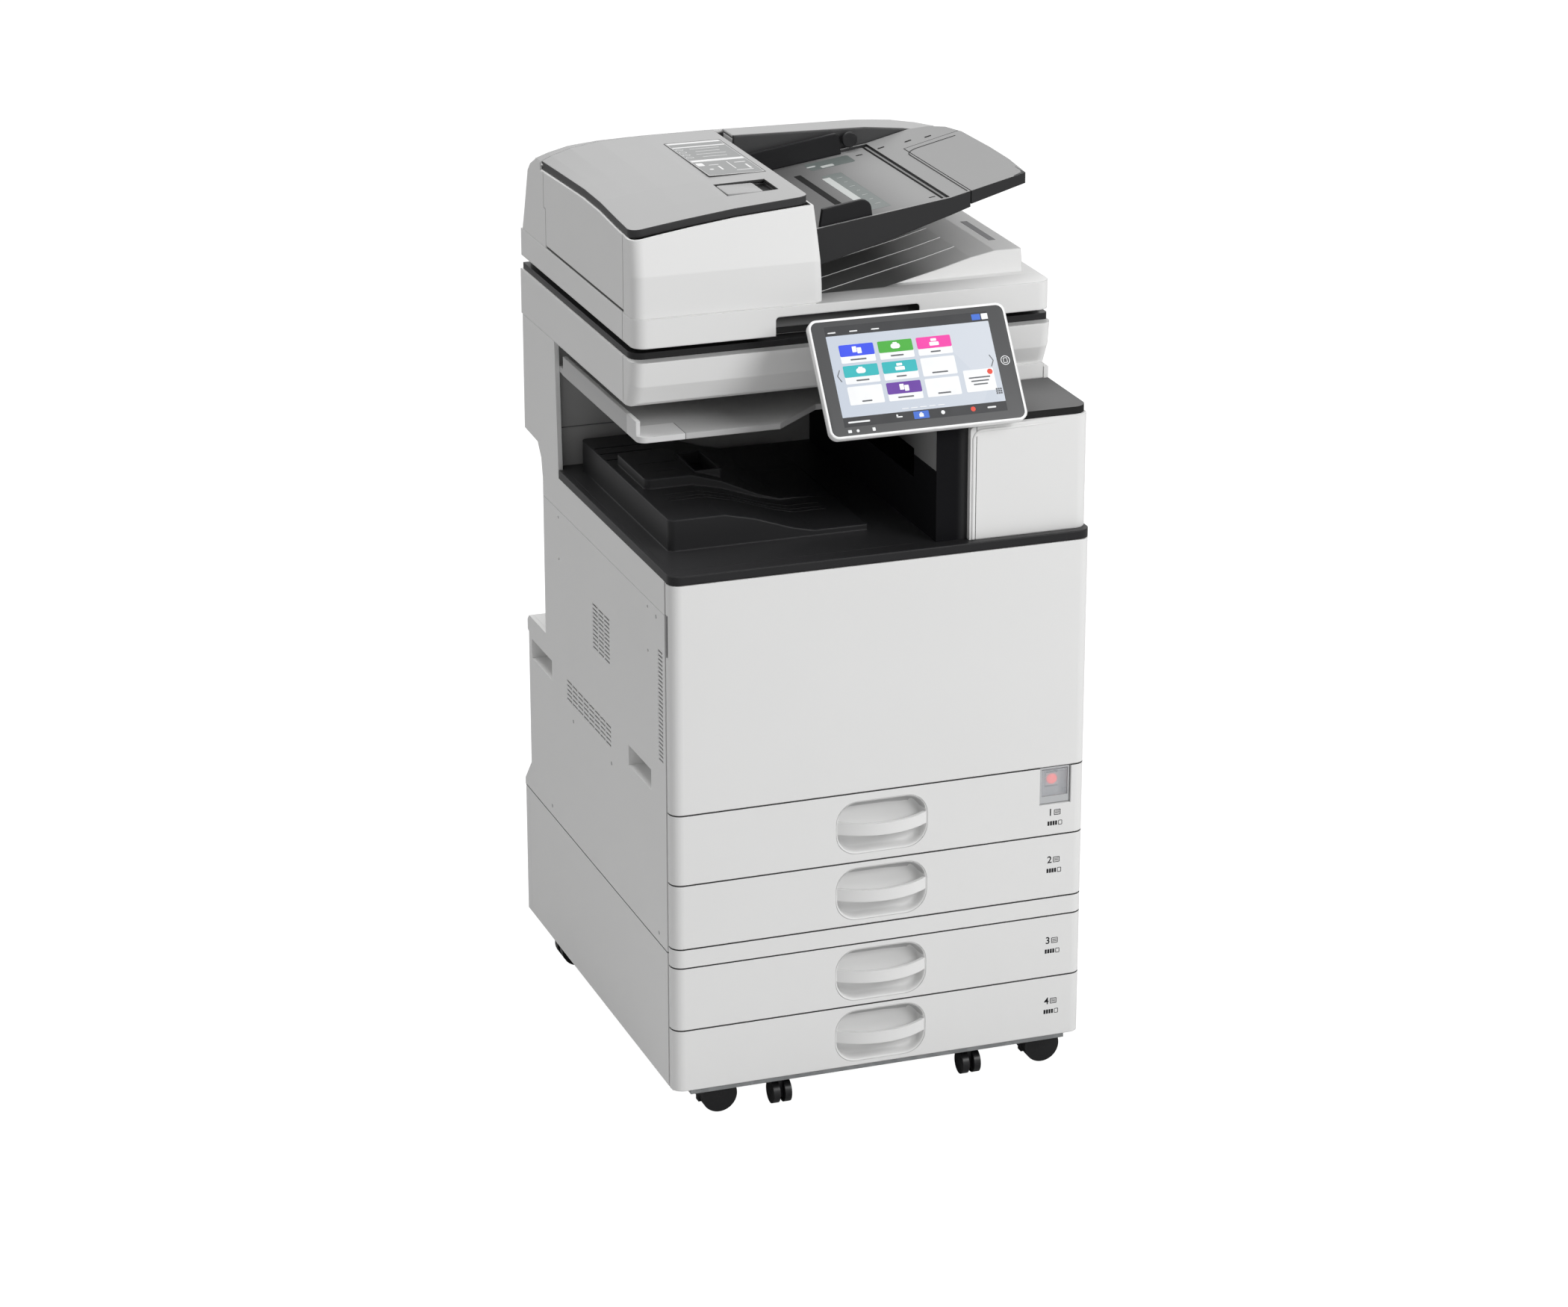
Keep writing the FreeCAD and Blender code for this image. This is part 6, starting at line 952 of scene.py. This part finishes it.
# Two arrows for paging and a keypad sign stand on the screen. The ring of the touch point is printed on the right of
# the bezel.
bm = bmesh.new()
for side in (-1, 1):
    tip_u, tip_v = LCD_U + side * 108.0, LCD_V + 1.0
    for way in (-1, 1):
        ends = [(tip_u, tip_v), (tip_u - side * 4.2, tip_v + way * 8.0)]
        along = Vector((ends[1][0] - ends[0][0], ends[1][1] - ends[0][1])).normalized()
        across = Vector((-along.y, along.x)) * 0.6
        outline = [(end[0] + way_out * across.x, end[1] + way_out * across.y)
                   for end, way_out in ((ends[0], -1), (ends[1], -1), (ends[1], 1), (ends[0], 1))]
        plate(bm, PANEL, outline, 0.3, 0.56)
for row in range(3):
    for column in range(3):
        plate(bm, PANEL, oblong(2.4, 2.2, 0.2, 1, (LCD_U + 104.0 + 3.0 * column, LCD_V - 44.0 + 2.9 * row)), 0.3, 0.56)
shaped("screen_arrows", bm, "operation_panel", "panel_black", caption)
bm = bmesh.new()
ring_u, ring_v = 121.8, 1.5
outer, inner = [oblong(radius * 2, radius * 2, radius, 8, (ring_u, ring_v)) for radius in (6.4, 5.5)]
loops = [[PANEL.point(a, b, height) for a, b in ring]
         for ring, height in ((outer, 0.3), (outer, 0.5), (inner, 0.5), (inner, 0.3), (outer, 0.3))]
skin_loops(bm, loops, caps=(False, False))
page_mark(bm, PANEL, ring_u, ring_v, 5.0, 6.4, 0.7, 0.5)
shaped("touch_ring", bm, "operation_panel", "panel_black", pale)

# Units inside the engine: the laser unit, the fuser and the electronics are closed boxes of coated steel and black
# plastic, the drum is a coated cylinder on a steel shaft, and the toner bottle is a ribbed black drum with a cap.
dress(coated_steel("unit_steel", (0.40, 0.41, 0.42)), "laser_unit", "electronics_box")
dress(grained("fuser_black", (0.03, 0.03, 0.032), roughness=0.5, speckle=0.1), "fuser_unit")
drum_green = grained("drum_coating", (0.05, 0.20, 0.18), roughness=0.16, grain=0.01, speckle=0.04)
dress(drum_green, "drum")
toner_black = grained("toner_black", (0.05, 0.05, 0.052), roughness=0.45, speckle=0.1)
dress(toner_black, "toner_bottle")

low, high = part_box("toner_bottle")
axis_x, axis_z = (low.x + high.x) / 2, (low.z + high.z) / 2
bm = bmesh.new()
for rib in range(7):
    start = Vector((axis_x, low.y + (0.06 + 0.045 * rib), axis_z))
    turned(bm, start, (0, 1, 0), [(44.6, 0.0), (45.0, 0.6), (45.0, 3.4), (44.6, 4.0)], 48)
turned(bm, Vector((axis_x, low.y, axis_z)), (0, 1, 0),
       [(30.0, 0.05), (32.0, 1.2), (32.0, 8.0), (44.9, 9.0), (44.9, 12.0), (30.0, 12.2)], 48)
shaped("bottle_ribs", bm, "toner_bottle", "toner_plastic", toner_black)

low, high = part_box("laser_unit")
bm = bmesh.new()
LID = Place(Vector(((low.x + high.x) / 2, 0, high.z)), (1, 0, 0), (0, 1, 0))
for near, far, width in ((-250, -70, 200), (-50, 160, 200)):
    plate(bm, LID, oblong(width, far - near, 8, 4, (0, (near + far) / 2)), -0.4, 0.0)
shaped("laser_lid", bm, "machine", "steel", screw_steel, soften=0.0004)

# Right side: the tall door over the paper path with the bypass tray folded up in it. The door's finger pull is a dark
# patch of its finish and the tray's a thin grey plate, and three ribs run along the tray's outer face.
low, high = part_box("right_door")
side_white = grained("side_white", WHITE, edge=1.5)
x, d, z = places(side_white)
pull_d, pull_z = low.y / MM + FRONT_DEPTH + 22.0, (low.z + high.z) / 2 / MM
retone(side_white, (x > 290.0) * (abs(d - pull_d) < 8.0) * (abs(z - pull_z) < 48.0), (0.13, 0.13, 0.135))
dress(side_white, "right_door", "bypass_tray")
low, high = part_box("bypass_tray")
bm = bmesh.new()
centre_y = (low.y + high.y) / 2
PULL = Place(Vector((high.x, centre_y, high.z - 22 * MM)), (0, 1, 0), (0, 0, 1))
plate(bm, PULL, oblong(84, 20, 9, 6), -0.3, 0.15)
shaped("bypass_pull", bm, "bypass_tray", "grey_liner", scoop_grey, soften=0.0004)
bm = bmesh.new()
rib_points = int((high.y - low.y) / MM / 10) - 3
for line in range(3):
    level = low.z / MM + 60 + 50 * line
    path = [Vector((high.x, low.y + (20 + 10 * step) * MM, level * MM)) for step in range(rib_points)]
    ridge(bm, path, (0, 0, 1), (1, 0, 0), 2.0, 0.4)
shaped("bypass_ribs", bm, "bypass_tray", "white_cover", cover_white)

# Rear: two louvre fields over the fans and a shallow plate for the cable sockets, with screws round the cover's edge.
# The louvres are thin black slats on the white moulding.


def screws(name, body, spots, place_axis, radius=3.2):
    """Round-headed screws with a round recess, sunk a little into the cover."""
    bm = bmesh.new()
    axis = Vector(place_axis)
    for spot in spots:
        turned(bm, spot, axis, [(radius, -0.6), (radius, 0.0), (radius * 0.9, 0.25), (radius * 0.6, 0.38),
                                (radius * 0.34, 0.40), (radius * 0.30, -0.4), (0.05, -0.5)], 20)
    return shaped(name, bm, body, "steel", screw_steel)


REAR_FLAT = 557.0
bm = bmesh.new()
ON_FLAT = Place(at(0, REAR_FLAT, 0), (-1, 0, 0), (0, 0, 1))
for column in (-150, -125, -100):
    for row in range(14):
        plate(bm, ON_FLAT, oblong(21, 3.0, 1.2, 3, (column, 590 + 6.2 * row)), -0.1, 0.12)
for column in (100, 125, 150):
    for row in range(9):
        plate(bm, ON_REAR, oblong(21, 3.0, 1.2, 3, (column, 380 + 6.2 * row)), -0.1, 0.12)
shaped("rear_louvres", bm, "machine", "black_plastic", socket_black)
bm = bmesh.new()
plate(bm, ON_FLAT, oblong(120, 44, 4, 4, (130, 640)), -0.2, 0.35)
shaped("socket_plate", bm, "machine", "grey_liner", scoop_grey, soften=0.0003)
bm = bmesh.new()
for u, width, height in ((92, 16, 12), (118, 13, 6), (140, 13, 6), (166, 16, 13)):
    plate(bm, ON_FLAT, oblong(width, height, 1.0, 2, (u, 640)), 0.2, 0.6)
shaped("cable_sockets", bm, "machine", "black_plastic", socket_black)
screws("rear_screws", "machine", [at(x, REAR_FLAT, z) for x in (-270, 0, 270) for z in (545, 720)]
       + [at(x, REAR_STEP, z) for x in (-262, 262) for z in (300, 470)], (0, 1, 0), 3.0)
